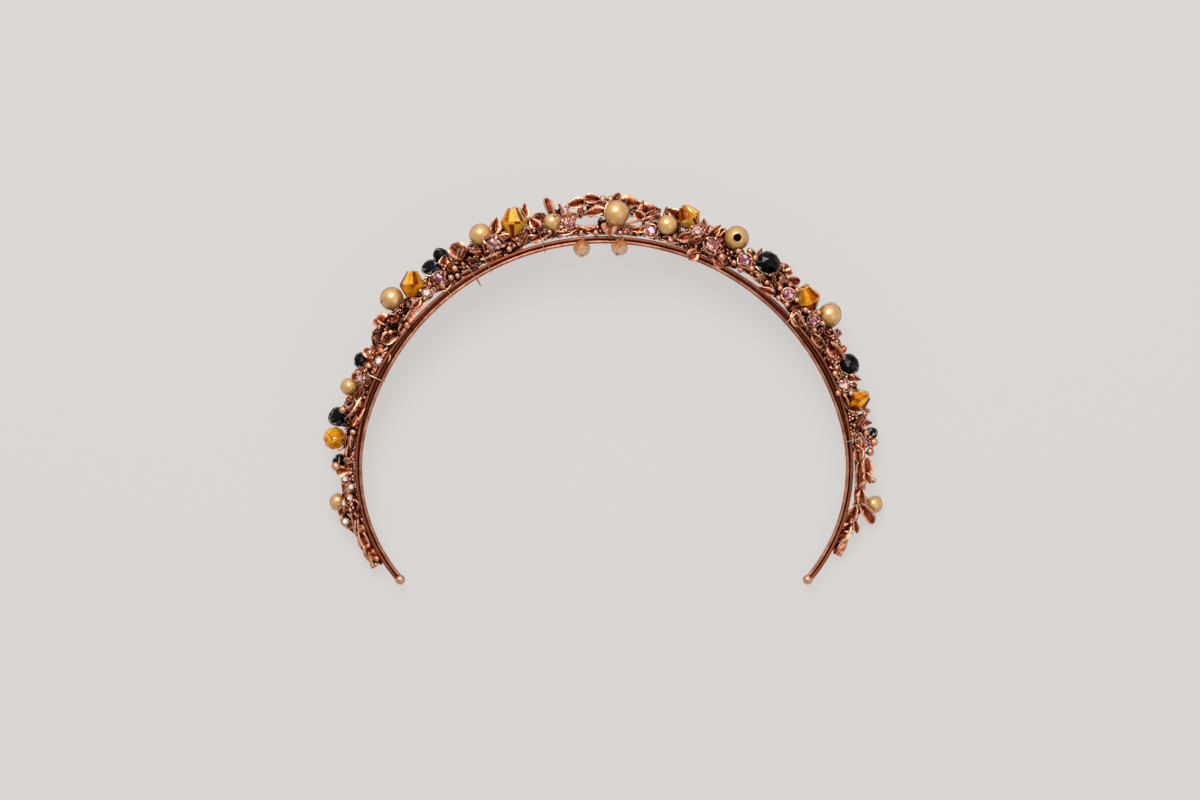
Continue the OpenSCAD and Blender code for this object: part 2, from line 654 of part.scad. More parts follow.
module gilt_loops(span, binds, r, sides) {
    for (p = concat(PEARLS, AMBERS, BLACKS, CHAMPAGNES))
        if (p[0] > span[0] && p[0] < span[1] && p[6] > 0)
            bead_place(p) rotate([0, 0, p[7]]) bead_loop(p[3], p[4], r, sides);
    for (s = binds)
        bind_loop(s, r, sides);
}

module casting(span, back_span, leaves, back_leaves, balls, twigs, flowers, binds) {
    color("sienna") lay()
        difference() {
            union() {
                stem(span);
                back_stem(back_span);
                for (p = concat(leaves, back_leaves)) {
                    leaf_row(p);
                    stalk(p, on_arch(p), leaf_reach);
                }
                for (p = balls) {
                    ball_row(p);
                    stalk(p, on_arch(p), p[3] / 2);
                }
                for (p = twigs)
                    twig_row(p);
                for (p = flowers) {
                    flower_row(p);
                    stalk(p, on_arch(p), 0);
                }
                for (p = STONES)
                    if (p[0] > span[0] && p[0] < span[1]) {
                        place(p) face_to(p[4], p[5]) cup(p[3], p[6]);
                        stalk(p, on_arch(p) - axis_at(p[0], p[4], p[5]) * p[3] * cup_foot, leaf_reach);
                    }
                for (p = CLEAR_STONES)
                    if (p[0] > span[0] && p[0] < span[1]) {
                        place(p) cup(p[3], small_claws);
                        stalk(p, on_arch(p) - [0, 0, p[3] * cup_foot], leaf_reach);
                    }
            }
            seats();
            gilt_loops(span, binds, gilt_r + gap, 4);
            band_room();
        }
}

module vine_left() {
    casting(LEFT_VINE, LEFT_BACK, LEFT_LEAVES, LEFT_BACK_LEAVES, LEFT_BALLS, LEFT_TWIGS, LEFT_FLOWERS,
        LEFT_BINDS);
}

module vine_crest() {
    casting(CREST_VINE, CREST_BACK, CREST_LEAVES, CREST_BACK_LEAVES, CREST_BALLS, CREST_TWIGS, CREST_FLOWERS,
        CREST_BINDS);
}

module vine_right() {
    casting(RIGHT_VINE, RIGHT_BACK, RIGHT_LEAVES, RIGHT_BACK_LEAVES, RIGHT_BALLS, RIGHT_TWIGS, RIGHT_FLOWERS,
        RIGHT_BINDS);
}

module wire_left() {
    color("gold") lay() gilt_loops(LEFT_VINE, LEFT_BINDS, gilt_r, 5);
}

module wire_crest() {
    color("gold") lay() gilt_loops(CREST_VINE, CREST_BINDS, gilt_r, 5);
}

module wire_right() {
    color("gold") lay() gilt_loops(RIGHT_VINE, RIGHT_BINDS, gilt_r, 5);
}

// A point on a circle, from its middle, its radius and its station
function on_circle(c, r, station) = [c[0] + r * sin(station), c[1] + r * cos(station), 0];

// A stretch of band wire round the middle c, between two stations
module wire_arc(c, r, from, to) {
    translate(c) rotate([0, 0, 90 - to + short])
        rotate_extrude(angle = to - from - 2 * short, $fn = 96) translate([r, 0]) circle(r = wire_r, $fn = 12);
}

// Solder that joins two stretches of wire
module solder(place) {
    translate(place) sphere(r = wire_r + solder_t, $fn = 24);
}

// The inner wire: an arc over the head and a leg at each side that bends inwards
module inner_wire() {
    wire_arc([0, 0, 0], inner_mid, -leg_from, leg_from);
    for (side = [0, 1])
        mirror([side, 0, 0]) {
            wire_arc(leg_middle, inner_leg, leg_from, leg_to);
            solder(on_circle([0, 0, 0], inner_mid, leg_from));
        }
}

// The outer wire: a lower arc, a shoulder and a leg that lies along the inner wire's
module outer_wire() {
    wire_arc(arc_middle, outer_mid, -shoulder_from, shoulder_from);
    for (side = [0, 1])
        mirror([side, 0, 0]) {
            wire_arc(shoulder_middle, shoulder_r, shoulder_from, shoulder_to);
            wire_arc(leg_middle, outer_leg, shoulder_to, leg_to);
            solder(on_circle(arc_middle, outer_mid, shoulder_from));
            solder(on_circle(leg_middle, outer_leg, shoulder_to));
        }
}

module band() {
    color("peru") lay() {
        inner_wire();
        outer_wire();
        for (side = [0, 1])
            mirror([side, 0, 0])
                translate(on_circle(leg_middle, (inner_leg + outer_leg) / 2, leg_to))
                    sphere(r = tip_r, $fn = 32);
    }
}

// Distance of a wire's middle line from the arch's middle, for a circle round c
function reach_of(c, r, s) =
    let (along = c[0] * sin(abs(s)) + c[1] * cos(abs(s)), across = c[0] * cos(abs(s)) - c[1] * sin(abs(s)))
    along + sqrt(r * r - across * across);

function inner_reach(s) = abs(s) < leg_from ? inner_mid : reach_of(leg_middle, inner_leg, s);

function outer_reach(s) = abs(s) < shoulder_from ? reach_of(arc_middle, outer_mid, s)
    : abs(s) < shoulder_to ? reach_of(shoulder_middle, shoulder_r, s)
    : reach_of(leg_middle, outer_leg, s);

// Room for the band, cut out of the castings
module band_room() {
    deep = [0, 0, wire_r + gap];
    skin([
        for (i = [0:room_steps])
            let (
                s = room_to * (2 * i / room_steps - 1),
                out = [sin(s), cos(s), 0],
                low = out * (inner_reach(s) - wire_r - gap),
                high = out * (outer_reach(s) + wire_r + gap) / cos(room_to / room_steps)
            )
            [low - deep, high - deep, high + deep, low + deep]
    ]);
}

band();
vine_left();
vine_crest();
vine_right();
for (i = [0:len(PEARLS) - 1])
    pearl(i);
for (i = [0:len(AMBERS) - 1])
    amber(i);
for (i = [0:len(BLACKS) - 1])
    black(i);
for (i = [0:len(CHAMPAGNES) - 1])
    champagne(i);
for (i = [0:len(STONES) - 1])
    stone(i);
clear_stones();
wire_left();
wire_crest();
wire_right();
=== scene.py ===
# %% [markdown]
# # A tiara of cast copper foliage
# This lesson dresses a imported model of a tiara: a slim arch of two copper wires that carries a
# vine of antique copper leaves, gold pearls, cut glass beads and small set stones. The model
# says where every piece is. Here the finest shapes and the finishes are added around it.

# %% Load the frame
import json
import math
import random
import bmesh
import bpy
import numpy as np
from mathutils import Matrix, Vector, noise


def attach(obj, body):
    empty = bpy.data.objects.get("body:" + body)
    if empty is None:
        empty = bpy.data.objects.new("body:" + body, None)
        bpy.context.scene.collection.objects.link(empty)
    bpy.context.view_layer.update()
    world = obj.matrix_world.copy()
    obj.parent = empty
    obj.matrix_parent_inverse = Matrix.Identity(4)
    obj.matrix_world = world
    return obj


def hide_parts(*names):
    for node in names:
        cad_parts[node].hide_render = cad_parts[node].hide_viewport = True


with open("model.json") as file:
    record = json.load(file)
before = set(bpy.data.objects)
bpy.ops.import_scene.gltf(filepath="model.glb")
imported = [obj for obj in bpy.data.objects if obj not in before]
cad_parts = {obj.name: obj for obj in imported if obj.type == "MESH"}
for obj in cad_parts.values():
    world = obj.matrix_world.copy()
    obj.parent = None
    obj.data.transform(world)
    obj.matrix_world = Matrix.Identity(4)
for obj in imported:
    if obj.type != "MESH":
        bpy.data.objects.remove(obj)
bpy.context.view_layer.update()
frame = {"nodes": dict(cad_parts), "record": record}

nodes = frame["nodes"]

# %% [markdown]
# The arch is easiest to think of by itself: station is the angle along it from the crest,
# positive to the right, lift is the distance out from its inner edge, and depth is positive
# towards the front. All sizes are in millimetres. One matrix then lays the tiara on the table
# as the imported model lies, and makes metres of it.

# %% Places along the arch
BAND_R = 66
WIRE_R = 0.5
REST_TILT, REST_LEAN, REST_HEIGHT = 6.9, 0.7, 7.17
LAY = (
    Matrix.Scale(0.001, 4)
    @ Matrix.Translation((0, 0, REST_HEIGHT))
    @ Matrix.Rotation(math.radians(REST_LEAN), 4, "Y")
    @ Matrix.Rotation(math.radians(REST_TILT), 4, "X")
)


def turned(degrees, axis):
    return Matrix.Rotation(math.radians(degrees), 4, axis)


def on_arch(station, lift, depth):
    a = math.radians(station)
    return Vector(((BAND_R + lift) * math.sin(a), (BAND_R + lift) * math.cos(a), depth))


def place(station, lift, depth):
    """The matrix of a spot on the arch, its +Y pointing outwards and its +Z to the front."""
    return turned(-station, "Z") @ Matrix.Translation((0, BAND_R + lift, depth))


def facing(turn, lean):
    """Turns a shape that faces the front towards its lean."""
    return turned(turn, "Z") @ turned(-lean, "X")


def between(rows, at):
    """Reads a table of rising places at one place, along straight lines."""
    if at <= rows[0][0]:
        return rows[0][1]
    for (x0, y0), (x1, y1) in zip(rows, rows[1:]):
        if at <= x1:
            return y0 + (y1 - y0) * (at - x0) / (x1 - x0)
    return rows[-1][1]


def spread_over(span, step):
    """Even numbers over a span, about a step apart."""
    count = round((span[1] - span[0]) / step)
    return [span[0] + (span[1] - span[0]) * i / count for i in range(count + 1)]


print("lift 0 at the crest lies at", [round(v, 4) for v in LAY @ on_arch(0, 0, 0)])

# %% [markdown]
# ## The stems
# The vine's main stem runs along the band in waves, and a thinner one runs behind and above it.

# %% Where the stems run
# Columns: station, lift or depth
VINE_LIFT = [
    (-110, -0.8), (-104, 1), (-98, 2.3), (-92, 3.3), (-85, 3.3), (-78, 3.6), (-73, 4), (-67, 4.2),
    (-62, 3.9), (-57, 3.8), (-52, 4), (-46, 4.8), (-40, 4.6), (-34, 3.9), (-28, 3.7), (-22, 4.4),
    (-15, 4.9), (-8, 4.7), (-1, 4), (5, 4.4), (11, 5), (17, 4.5), (21, 4), (26, 4.2), (31, 4.6),
    (36, 4.6), (41, 4.6), (46, 4.4), (51, 4), (57, 4), (63, 3.8), (68, 2.8), (74, 2.8), (80, 4.4),
    (86, 4.4), (90, 3.6), (96, 2), (102, 0.6), (107, -0.4),
]
VINE_DEPTH = [
    (-110, -1.4), (-84, -1.7), (-76, -1.6), (-40, -1.2), (0, -1), (40, -1.2), (60, -1.7),
    (66, -1.9), (76, -1.9), (84, -1.8), (107, -1.4),
]
BACK_LIFT = [
    (-76, 5), (-60, 6.2), (-40, 7), (-25, 8.4), (-10, 8.8), (5, 8.8), (20, 8.2), (40, 8),
    (60, 6.4), (78, 5),
]
BACK_DEPTH = [
    (-76, -3.4), (-60, -5.4), (-40, -6.8), (-20, -8.4), (0, -9), (20, -8.4), (40, -6.8),
    (60, -5.4), (78, -3.6),
]
HALF_LIFT = [(s, (between(VINE_LIFT, s) + lift) / 2 - 0.4) for s, lift in BACK_LIFT]
HALF_DEPTH = [(s, (between(VINE_DEPTH, s) + depth) / 2) for s, depth in BACK_DEPTH]
# Stations from and to
VINE_SPAN = {"left": (-109, -29.6), "crest": (-29, 29), "right": (29.6, 106)}
BACK_SPANS = [(-76, -32), (-28, 28), (32, 67)]
HALF_SPANS = [(-76, -32), (-28, -7.5), (9.8, 28), (32, 67)]
STEM_STEP = 0.75


def rows_of(part, table):
    """The rows of a table that belong to a part, by the station in their first column."""
    low, high = VINE_SPAN[part]
    return [row for row in table if low < row[0] < high]


def stem_path(span, lifts, depths):
    """Points along a stem between two stations."""
    return [on_arch(s, between(lifts, s), between(depths, s)) for s in spread_over(span, STEM_STEP)]


print("the crest's stem has", len(stem_path(VINE_SPAN["crest"], VINE_LIFT, VINE_DEPTH)), "points")

# %% [markdown]
# ## Finishes
# A finish is a small node tree. Antique copper is dark where polish can't reach and rubbed
# bright on its rims, so each casting carries a number for its wear on its points: 0 in a hollow
# and 1 on a rim. On a few pieces this number also paints light and shade: it is lowered on the
# band's outer wire, and is 0 on the seam between the wires and on the post in a pearl's hole, as
# painted shade, and it is raised on the heart leaf as painted light. One shader group turns it,
# the closeness of other metal and a little noise into colour, roughness and height, and the band
# and the castings use it with their own values.


# %% Helpers for node trees
def feed(tree, node, values):
    """Links or fills a node's inputs by name or number. A node as a value is its first output."""
    for key, value in values.items():
        if isinstance(value, bpy.types.Node):
            value = value.outputs[0]
        if isinstance(value, bpy.types.NodeSocket):
            tree.links.new(value, node.inputs[key])
        else:
            node.inputs[key].default_value = value


def add_node(tree, kind, inputs=None, **settings):
    """Adds a node, sets it up and feeds it."""
    node = tree.nodes.new(kind)
    for name, value in settings.items():
        setattr(node, name, value)
    feed(tree, node, inputs or {})
    return node


def new_group(name, kind, inputs, outputs):
    """An empty node group with named sockets. Returns the tree, what it is given and its end."""
    tree = bpy.data.node_groups.new(name, kind)
    for label, socket, value in inputs:
        made = tree.interface.new_socket(label, in_out="INPUT", socket_type="NodeSocket" + socket)
        if value is not None:
            made.default_value = value
    for label, socket in outputs:
        tree.interface.new_socket(label, in_out="OUTPUT", socket_type="NodeSocket" + socket)
    return tree, tree.nodes.new("NodeGroupInput").outputs, tree.nodes.new("NodeGroupOutput")


print("helpers:", feed.__name__, add_node.__name__, new_group.__name__)


# %% Helpers for colours and materials
def ramp(tree, fac, stops, interpolation="EASE"):
    """A colour ramp over stops of (place, grey or colour)."""
    node = add_node(tree, "ShaderNodeValToRGB", {"Fac": fac})
    node.color_ramp.interpolation = interpolation
    while len(node.color_ramp.elements) < len(stops):
        node.color_ramp.elements.new(0.5)
    for element, (at, value) in zip(node.color_ramp.elements, stops):
        element.position = at
        grey = isinstance(value, (int, float))
        element.color = (value, value, value, 1) if grey else (*value, 1)
    return node.outputs["Color"]


def mix_colour(tree, fac, a, b):
    return add_node(tree, "ShaderNodeMix", {0: fac, 6: a, 7: b}, data_type="RGBA").outputs[2]


def maths(tree, operation, a, b=0.0, c=0.0, clamp=False):
    inputs = {0: a, 1: b, 2: c}
    return add_node(tree, "ShaderNodeMath", inputs, operation=operation, use_clamp=clamp).outputs[0]


def vectors(tree, operation, *values, output="Vector", **named):
    inputs = dict(enumerate(values)) | named
    return add_node(tree, "ShaderNodeVectorMath", inputs, operation=operation).outputs[output]


def clouds(tree, coordinates, scale, detail=2.0):
    """Soft noise from 0 to 1. scale is in lumps for each metre."""
    inputs = {"Vector": coordinates, "Scale": scale, "Detail": detail}
    return add_node(tree, "ShaderNodeTexNoise", inputs).outputs["Fac"]


def new_material(name, **values):
    """A material, its tree, its shader with plain values set, and its object coordinates."""
    material = bpy.data.materials.new(name)
    material.use_nodes = True
    tree = material.node_tree
    shader = tree.nodes["Principled BSDF"]
    feed(tree, shader, {key.replace("_", " "): value for key, value in values.items()})
    return material, tree, shader, tree.nodes.new("ShaderNodeTexCoord").outputs["Object"]


print("helpers:", ramp.__name__, mix_colour.__name__, maths.__name__, clouds.__name__)

# %% The worn metal group
DARK, MIDDLE, BRIGHT = (0.012, 0.002, 0.001, 1), (0.33, 0.053, 0.016, 1), (0.88, 0.44, 0.28, 1)
BLOTCH_SCALE, GRAIN_SCALE, GRAIN_SHARE = 900.0, 5200.0, 0.35
DULL_ROUGHNESS, POLISH = 0.5, 0.24
worn, given, end = new_group(
    "worn metal",
    "ShaderNodeTree",
    [
        ("Coordinates", "Vector", None),
        ("Wear", "Float", 0.6),
        ("Open", "Float", 1.0),
        ("Dark", "Color", DARK),
        ("Middle", "Color", MIDDLE),
        ("Bright", "Color", BRIGHT),
        ("Blotches", "Float", 1.0),
    ],
    [("Color", "Color"), ("Roughness", "Float"), ("Height", "Float")],
)
blotches = clouds(worn, given["Coordinates"], BLOTCH_SCALE, 4.0)
grain = clouds(worn, given["Coordinates"], GRAIN_SCALE, 3.0)
swing = maths(worn, "MULTIPLY", maths(worn, "SUBTRACT", blotches, 0.5), given["Blotches"])
shine = maths(worn, "ADD", given["Wear"], swing, clamp=True)
rubbed = ramp(worn, shine, [(0.4, 0.0), (1.0, 1.0)])
metal = mix_colour(worn, rubbed, given["Middle"], given["Bright"])
reached = maths(worn, "MULTIPLY_ADD", shine, 0.7, 0.42)
reached = maths(worn, "MULTIPLY", reached, given["Open"])
skin = mix_colour(worn, ramp(worn, reached, [(0.25, 0.0), (0.7, 1.0)]), given["Dark"], metal)
rough = maths(worn, "SUBTRACT", DULL_ROUGHNESS, maths(worn, "MULTIPLY", shine, POLISH))
height = maths(worn, "ADD", blotches, maths(worn, "MULTIPLY", grain, GRAIN_SHARE))
feed(worn, end, {"Color": skin, "Roughness": rough, "Height": height})
print("worn metal has", len(worn.nodes), "nodes")


# %% Copper for the castings and the band
def copper(name, blotch, reach, bump, **colours):
    """Antique copper. reach is how far off other metal keeps the polish out, in metres."""
    material, tree, shader, coordinates = new_material(name, Metallic=1.0)
    wear = add_node(tree, "ShaderNodeAttribute", attribute_name="wear").outputs["Fac"]
    sky = add_node(tree, "ShaderNodeAmbientOcclusion", {"Distance": reach}, samples=8).outputs["AO"]
    inputs = dict(Coordinates=coordinates, Wear=wear, Open=sky, Blotches=blotch, **colours)
    skin = add_node(tree, "ShaderNodeGroup", inputs, node_tree=worn).outputs
    heights = {"Height": skin["Height"], "Strength": bump, "Distance": 0.0002}
    relief = add_node(tree, "ShaderNodeBump", heights).outputs["Normal"]
    looks = {"Base Color": skin["Color"], "Roughness": skin["Roughness"], "Normal": relief}
    feed(tree, shader, looks)
    return material


antique_copper = copper("antique copper", 1.2, 0.0017, 0.7)
BAND_TONES = dict(Middle=(0.29, 0.072, 0.032, 1), Bright=(0.82, 0.44, 0.3, 1))
band_copper = copper("band copper", 0.35, 0.0008, 0.25, **BAND_TONES)
print("copper ready:", antique_copper.name, "and", band_copper.name)

# %% [markdown]
# Pearls of this kind are glass with a pearly lacquer: a soft metal-like glow under a clear coat.
# Where the surface turns away from the view, the coat fades and a dark warm rim colour takes
# over: painted shade and sheen at the pearl's edge. The wires are thin bright gilt.

# %% Pearl and gilt
gold_pearl, tree, shader, coordinates = new_material(
    "gold pearl", Metallic=0.4, Roughness=0.4, Coat_Roughness=0.2, Coat_IOR=2.2
)
PEARL_WARM, PEARL_LIGHT, PEARL_RIM_SHADE = (0.62, 0.28, 0.04), (0.78, 0.43, 0.1), (0.3, 0.095, 0.006, 1)
turn_away = add_node(tree, "ShaderNodeLayerWeight", {"Blend": 0.42}).outputs["Facing"]
pearl_colour = ramp(tree, clouds(tree, coordinates, 420.0, 3.0), [(0.3, PEARL_WARM), (0.7, PEARL_LIGHT)])
# Painted shade and sheen: the dark warm rim colour takes over where the surface turns away.
pearl_colour = mix_colour(tree, ramp(tree, turn_away, [(0.25, 0.0), (0.9, 1.0)]), pearl_colour, PEARL_RIM_SHADE)
coat = ramp(tree, turn_away, [(0.3, 1.0), (0.85, 0.15)])
feed(tree, shader, {"Base Color": pearl_colour, "Coat Weight": coat})

gilt_wire, tree, shader, coordinates = new_material("gilt wire", Metallic=1.0, Roughness=0.22)
gilt_stops = [(0.3, (0.7, 0.45, 0.2)), (0.7, (0.95, 0.74, 0.45))]
feed(tree, shader, {"Base Color": ramp(tree, clouds(tree, coordinates, 700.0), gilt_stops)})
print("pearl and gilt ready")

# %% [markdown]
# Cut glass sparkles because each facet shows another bit of the room. Here that is painted into
# the colour: each facet carries a number on its face, and the glass reads it, so one facet gets
# painted shade and its neighbour a painted reflection, round the glass's own colour. A pattern of
# fine cells is mixed in, painted reflections of the far facets that show through the glass. The
# foil behind a small stone gives a half metallic look under a clear coat.


# %% Glass and stones
CELL_SCALE = 1100.0


def glass(name, stops, sparkle, **values):
    """Cut glass whose facets take their colour, painted shade and painted reflections from a ramp.
    sparkle is the share of the cells that paint reflections of its inner facets.
    """
    material, tree, shader, coordinates = new_material(name, **values)
    # The facet number sets each facet's painted shade and painted reflection.
    cut = add_node(tree, "ShaderNodeAttribute", attribute_name="cut").outputs["Fac"]
    cloud = clouds(tree, coordinates, 500.0)
    tint = maths(tree, "ADD", cut, maths(tree, "MULTIPLY_ADD", cloud, 0.3, -0.15))
    # Fine cells paint the reflections of the inner facets.
    cells = add_node(tree, "ShaderNodeTexVoronoi", {"Vector": coordinates, "Scale": CELL_SCALE})
    inner = add_node(tree, "ShaderNodeSeparateColor", {0: cells.outputs["Color"]})
    outer = maths(tree, "MULTIPLY", tint, 1 - sparkle)
    tint = maths(tree, "ADD", outer, maths(tree, "MULTIPLY", inner, sparkle))
    feed(tree, shader, {"Base Color": ramp(tree, tint, stops, "LINEAR")})
    return material


print("helper:", glass.__name__)

# %% Colours of the glass
# Columns: facet number, colour. Each row holds the glass's own colour, with painted shade at
# its deep end and painted reflections at its bright end.
AMBER = [
    (0, (0.15, 0.014, 0.0)), (0.28, (0.32, 0.04, 0.001)), (0.42, (0.62, 0.15, 0.002)),
    (0.6, (0.9, 0.36, 0.008)), (0.78, (1, 0.5, 0.04)), (1, (1, 0.74, 0.2)),
]
# On the black glass the greys from 0.78 up are painted reflections.
BLACK = [
    (0, (0.0005, 0.0005, 0.0005)), (0.7, (0.001, 0.001, 0.001)), (0.78, (0.05, 0.045, 0.055)),
    (0.92, (0.32, 0.3, 0.34)), (1, (0.6, 0.57, 0.6)),
]
CHAMPAGNE = [
    (0, (0.5, 0.1, 0.003)), (0.3, (0.66, 0.25, 0.04)), (0.55, (0.82, 0.55, 0.34)),
    (1, (0.92, 0.82, 0.72)),
]
PINK = [
    (0, (0.05, 0.003, 0.01)), (0.4, (0.22, 0.018, 0.05)), (0.58, (0.52, 0.11, 0.2)),
    (0.7, (0.92, 0.62, 0.7)), (1, (1, 0.97, 0.98)),
]
PEACH = [
    (0, (0.08, 0.01, 0.01)), (0.4, (0.32, 0.07, 0.06)), (0.58, (0.7, 0.3, 0.25)),
    (0.72, (1, 0.78, 0.7)), (1, (1, 0.97, 0.94)),
]
CLEAR = [(0, (0.3, 0.2, 0.17)), (0.3, (0.7, 0.6, 0.55)), (0.5, (1, 0.96, 0.93)), (1, (1, 1, 1))]
print("amber has", len(AMBER), "colours, black", len(BLACK), "and pink", len(PINK))

# %% All the finishes
SEE_THROUGH = dict(IOR=1.5, Roughness=0.03)
WARM_GLINT = dict(Specular_IOR_Level=0.3, Specular_Tint=(1.0, 0.5, 0.15, 1.0))
FOILED = dict(Metallic=0.3, Roughness=0.08, Coat_Weight=1.0, Coat_Roughness=0.02)
# The finishes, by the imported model's names for them
FINISHES = {
    finish.name.replace(" ", "_"): finish
    for finish in (
        antique_copper,
        band_copper,
        gold_pearl,
        gilt_wire,
        glass("amber glass", AMBER, 0.22, Transmission_Weight=0.25, **SEE_THROUGH, **WARM_GLINT),
        glass("black glass", BLACK, 0.06, Roughness=0.05, Specular_IOR_Level=0.12),
        glass("champagne glass", CHAMPAGNE, 0.2, Transmission_Weight=0.5, **SEE_THROUGH),
        glass("pink stone", PINK, 0.6, **FOILED),
        glass("peach stone", PEACH, 0.6, **FOILED),
        glass("clear stone", CLEAR, 0.6, **FOILED | {"Metallic": 0.0}),
    )
}
SLOT = {row["node"]: row["material_slot"] for row in frame["record"]["subparts"]}
for name, node in nodes.items():
    for slot in node.material_slots:
        slot.material = FINISHES[SLOT[name]]
print("finishes on", len(nodes), "nodes")

# %% [markdown]
# ## Shapes of the castings
# A mould collects closed shapes, each with its wear, which on a few pieces is also painted light
# and shade. A leaf is a grid of points, bent over its length, with a raised rim, a midrib and
# veins pressed into its upper side, and the same grid a little lower makes its back. Everything
# else is a tube, a ball or a turned cup.


# %% Helpers for meshes and objects
def new_mesh(name, points, faces, label, domain, numbers):
    """A mesh with one labelled number for each point or face."""
    mesh = bpy.data.meshes.new(name)
    mesh.from_pydata(points, [], faces)
    mesh.attributes.new(label, "FLOAT", domain).data.foreach_set("value", numbers)
    return mesh


def smoothed(mesh, sharp=40):
    """Smooth shading, but for edges sharper than an angle."""
    mesh.shade_smooth()
    mesh.set_sharp_from_angle(angle=math.radians(sharp))
    return mesh


def in_scene(name, data):
    made = bpy.data.objects.new(name, data)
    bpy.context.scene.collection.objects.link(made)
    return made


def stands_for(piece, node):
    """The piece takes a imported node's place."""
    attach(piece, "root")
    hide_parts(node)


print("helpers:", new_mesh.__name__, smoothed.__name__, in_scene.__name__, stands_for.__name__)


# %% The mould
class Mould:
    """Closed shapes in arch millimetres. A shape is (points, faces, wear of each point, which on a
    few pieces is also painted light and shade).
    """

    def __init__(self):
        self.points, self.faces, self.wear = [], [], []

    def add(self, shape, where=Matrix.Identity(4)):
        start = len(self.points)
        points, faces, wear = shape
        self.points += [where @ p for p in points]
        self.faces += [[start + k for k in face] for face in faces]
        self.wear += wear

    def cast(self, name, material, sharp=38):
        """Makes the object, laid on the table."""
        laid = [LAY @ p for p in self.points]
        mesh = new_mesh(name, laid, self.faces, "wear", "POINT", self.wear)
        mesh.materials.append(material)
        return in_scene(name, smoothed(mesh, sharp))


print("an empty mould holds", len(Mould().points), "points")

# %% Forms of the leaves
# Half widths along a leaf. Columns: place, share of its half width
FORMS = {
    "leaf": [(0, 0.22), (0.1, 0.6), (0.3, 1), (0.5, 0.94), (0.72, 0.6), (0.9, 0.22), (1, 0.02)],
    "petal": [(0, 0.3), (0.2, 0.72), (0.5, 1), (0.75, 0.98), (0.9, 0.72), (1, 0.25)],
    "strip": [(0, 0.5), (0.08, 0.85), (0.4, 1), (0.85, 0.9), (0.95, 0.66), (1, 0.3)],
    "heart": [
        (0, 0.4), (0.08, 0.85), (0.22, 1), (0.45, 0.84), (0.72, 0.46), (0.92, 0.14), (1, 0.02),
    ],
    "bud": [(0, 0.4), (0.2, 0.86), (0.45, 1), (0.7, 0.82), (0.9, 0.45), (1, 0.12)],
}
# Columns: place across the half width, share of the rim's height, wear
ACROSS = [
    (-1, 0.8, 0.95), (-0.84, 1, 1), (-0.5, 0.25, 0.35), (-0.14, 0, 0.2), (0, 0.35, 0.8),
    (0.14, 0, 0.2), (0.5, 0.25, 0.35), (0.84, 1, 1), (1, 0.8, 0.95),
]
SMALL_ACROSS = [(-1, 1, 1), (-0.45, 0.1, 0.3), (0, 0.3, 0.75), (0.45, 0.1, 0.3), (1, 1, 1)]
LEAF_T, EDGE_THINNER = 0.42, 0.4
# The veins lie between these shares of the half width, and slant towards the tip.
RIB_EDGE, RIM_EDGE, VEIN_SLANT = 0.15, 0.9, 1.3
SWAY, VEIN_RISE = 0.12, 0.05
VEIN_WEAR, END_WEAR, BACK_WEAR = 0.35, 0.2, 0.35
print("forms:", ", ".join(FORMS))


# %% Leaves
def leaf(
    length, width, form, rng, rows=12, rim=0.11, cup=0.1, sag=0.14, veins=5, rib=0.09, twist=18,
    across=ACROSS, thick=LEAF_T,
):
    """A leaf from the origin along +Y, its face to +Z. The heights are shares of its width."""
    points, wear = [], []
    sway = rng.uniform(-SWAY, SWAY) * length
    twist = math.radians(rng.uniform(-twist, twist))
    sag = sag * rng.uniform(0.6, 1.5) * length
    for i in range(rows + 1):
        u = i / rows
        half = between(FORMS[form], u) * width / 2
        for v, rise, shine in across:
            vein = 0.5 + 0.5 * math.cos(math.tau * (veins * u - VEIN_SLANT * abs(v)))
            blade = veins and RIB_EDGE < abs(v) < RIM_EDGE
            x = v * half
            z = rim * rise * half + cup * v * v * half * 2
            z += rib * width * (v == 0) * (1 - u) + (VEIN_RISE * vein * width if blade else 0)
            c, s = math.cos(twist * u), math.sin(twist * u)
            bent = x * c + z * s + sway * u * u, u * length, z * c - x * s - sag * u * u
            points.append(Vector(bent))
            shine = shine + (VEIN_WEAR * vein if blade else 0)
            wear.append(min(1, shine + END_WEAR * (i in (0, rows))))
    n = len(across)
    for i in range(rows + 1):
        for j, (v, _, _) in enumerate(across):
            points.append(points[i * n + j] - Vector((0, 0, thick * (1 - EDGE_THINNER * v * v))))
            wear.append(BACK_WEAR)
    low = (rows + 1) * n
    faces = []
    for i in range(rows):
        for j in range(n - 1):
            a, b, c, d = i * n + j, i * n + j + 1, (i + 1) * n + j + 1, (i + 1) * n + j
            faces += [(a, b, c, d), (low + d, low + c, low + b, low + a)]
        left, right = i * n, i * n + n - 1
        faces.append((left, left + n, low + left + n, low + left))
        faces.append((right + n, right, low + right, low + right + n))
    for j in range(n - 1):
        end = rows * n + j
        faces.append((j, low + j, low + j + 1, j + 1))
        faces.append((end + 1, low + end + 1, low + end, end))
    return points, faces, wear


def leaf_place(row):
    """Where a leaf's row puts it: station, lift, depth, turn, pitch, roll."""
    return place(*row[:3]) @ turned(row[3], "Z") @ turned(row[5], "Y") @ turned(row[4], "X")


print("a leaf has", len(leaf(5, 3, "leaf", random.Random(1))[1]), "faces")


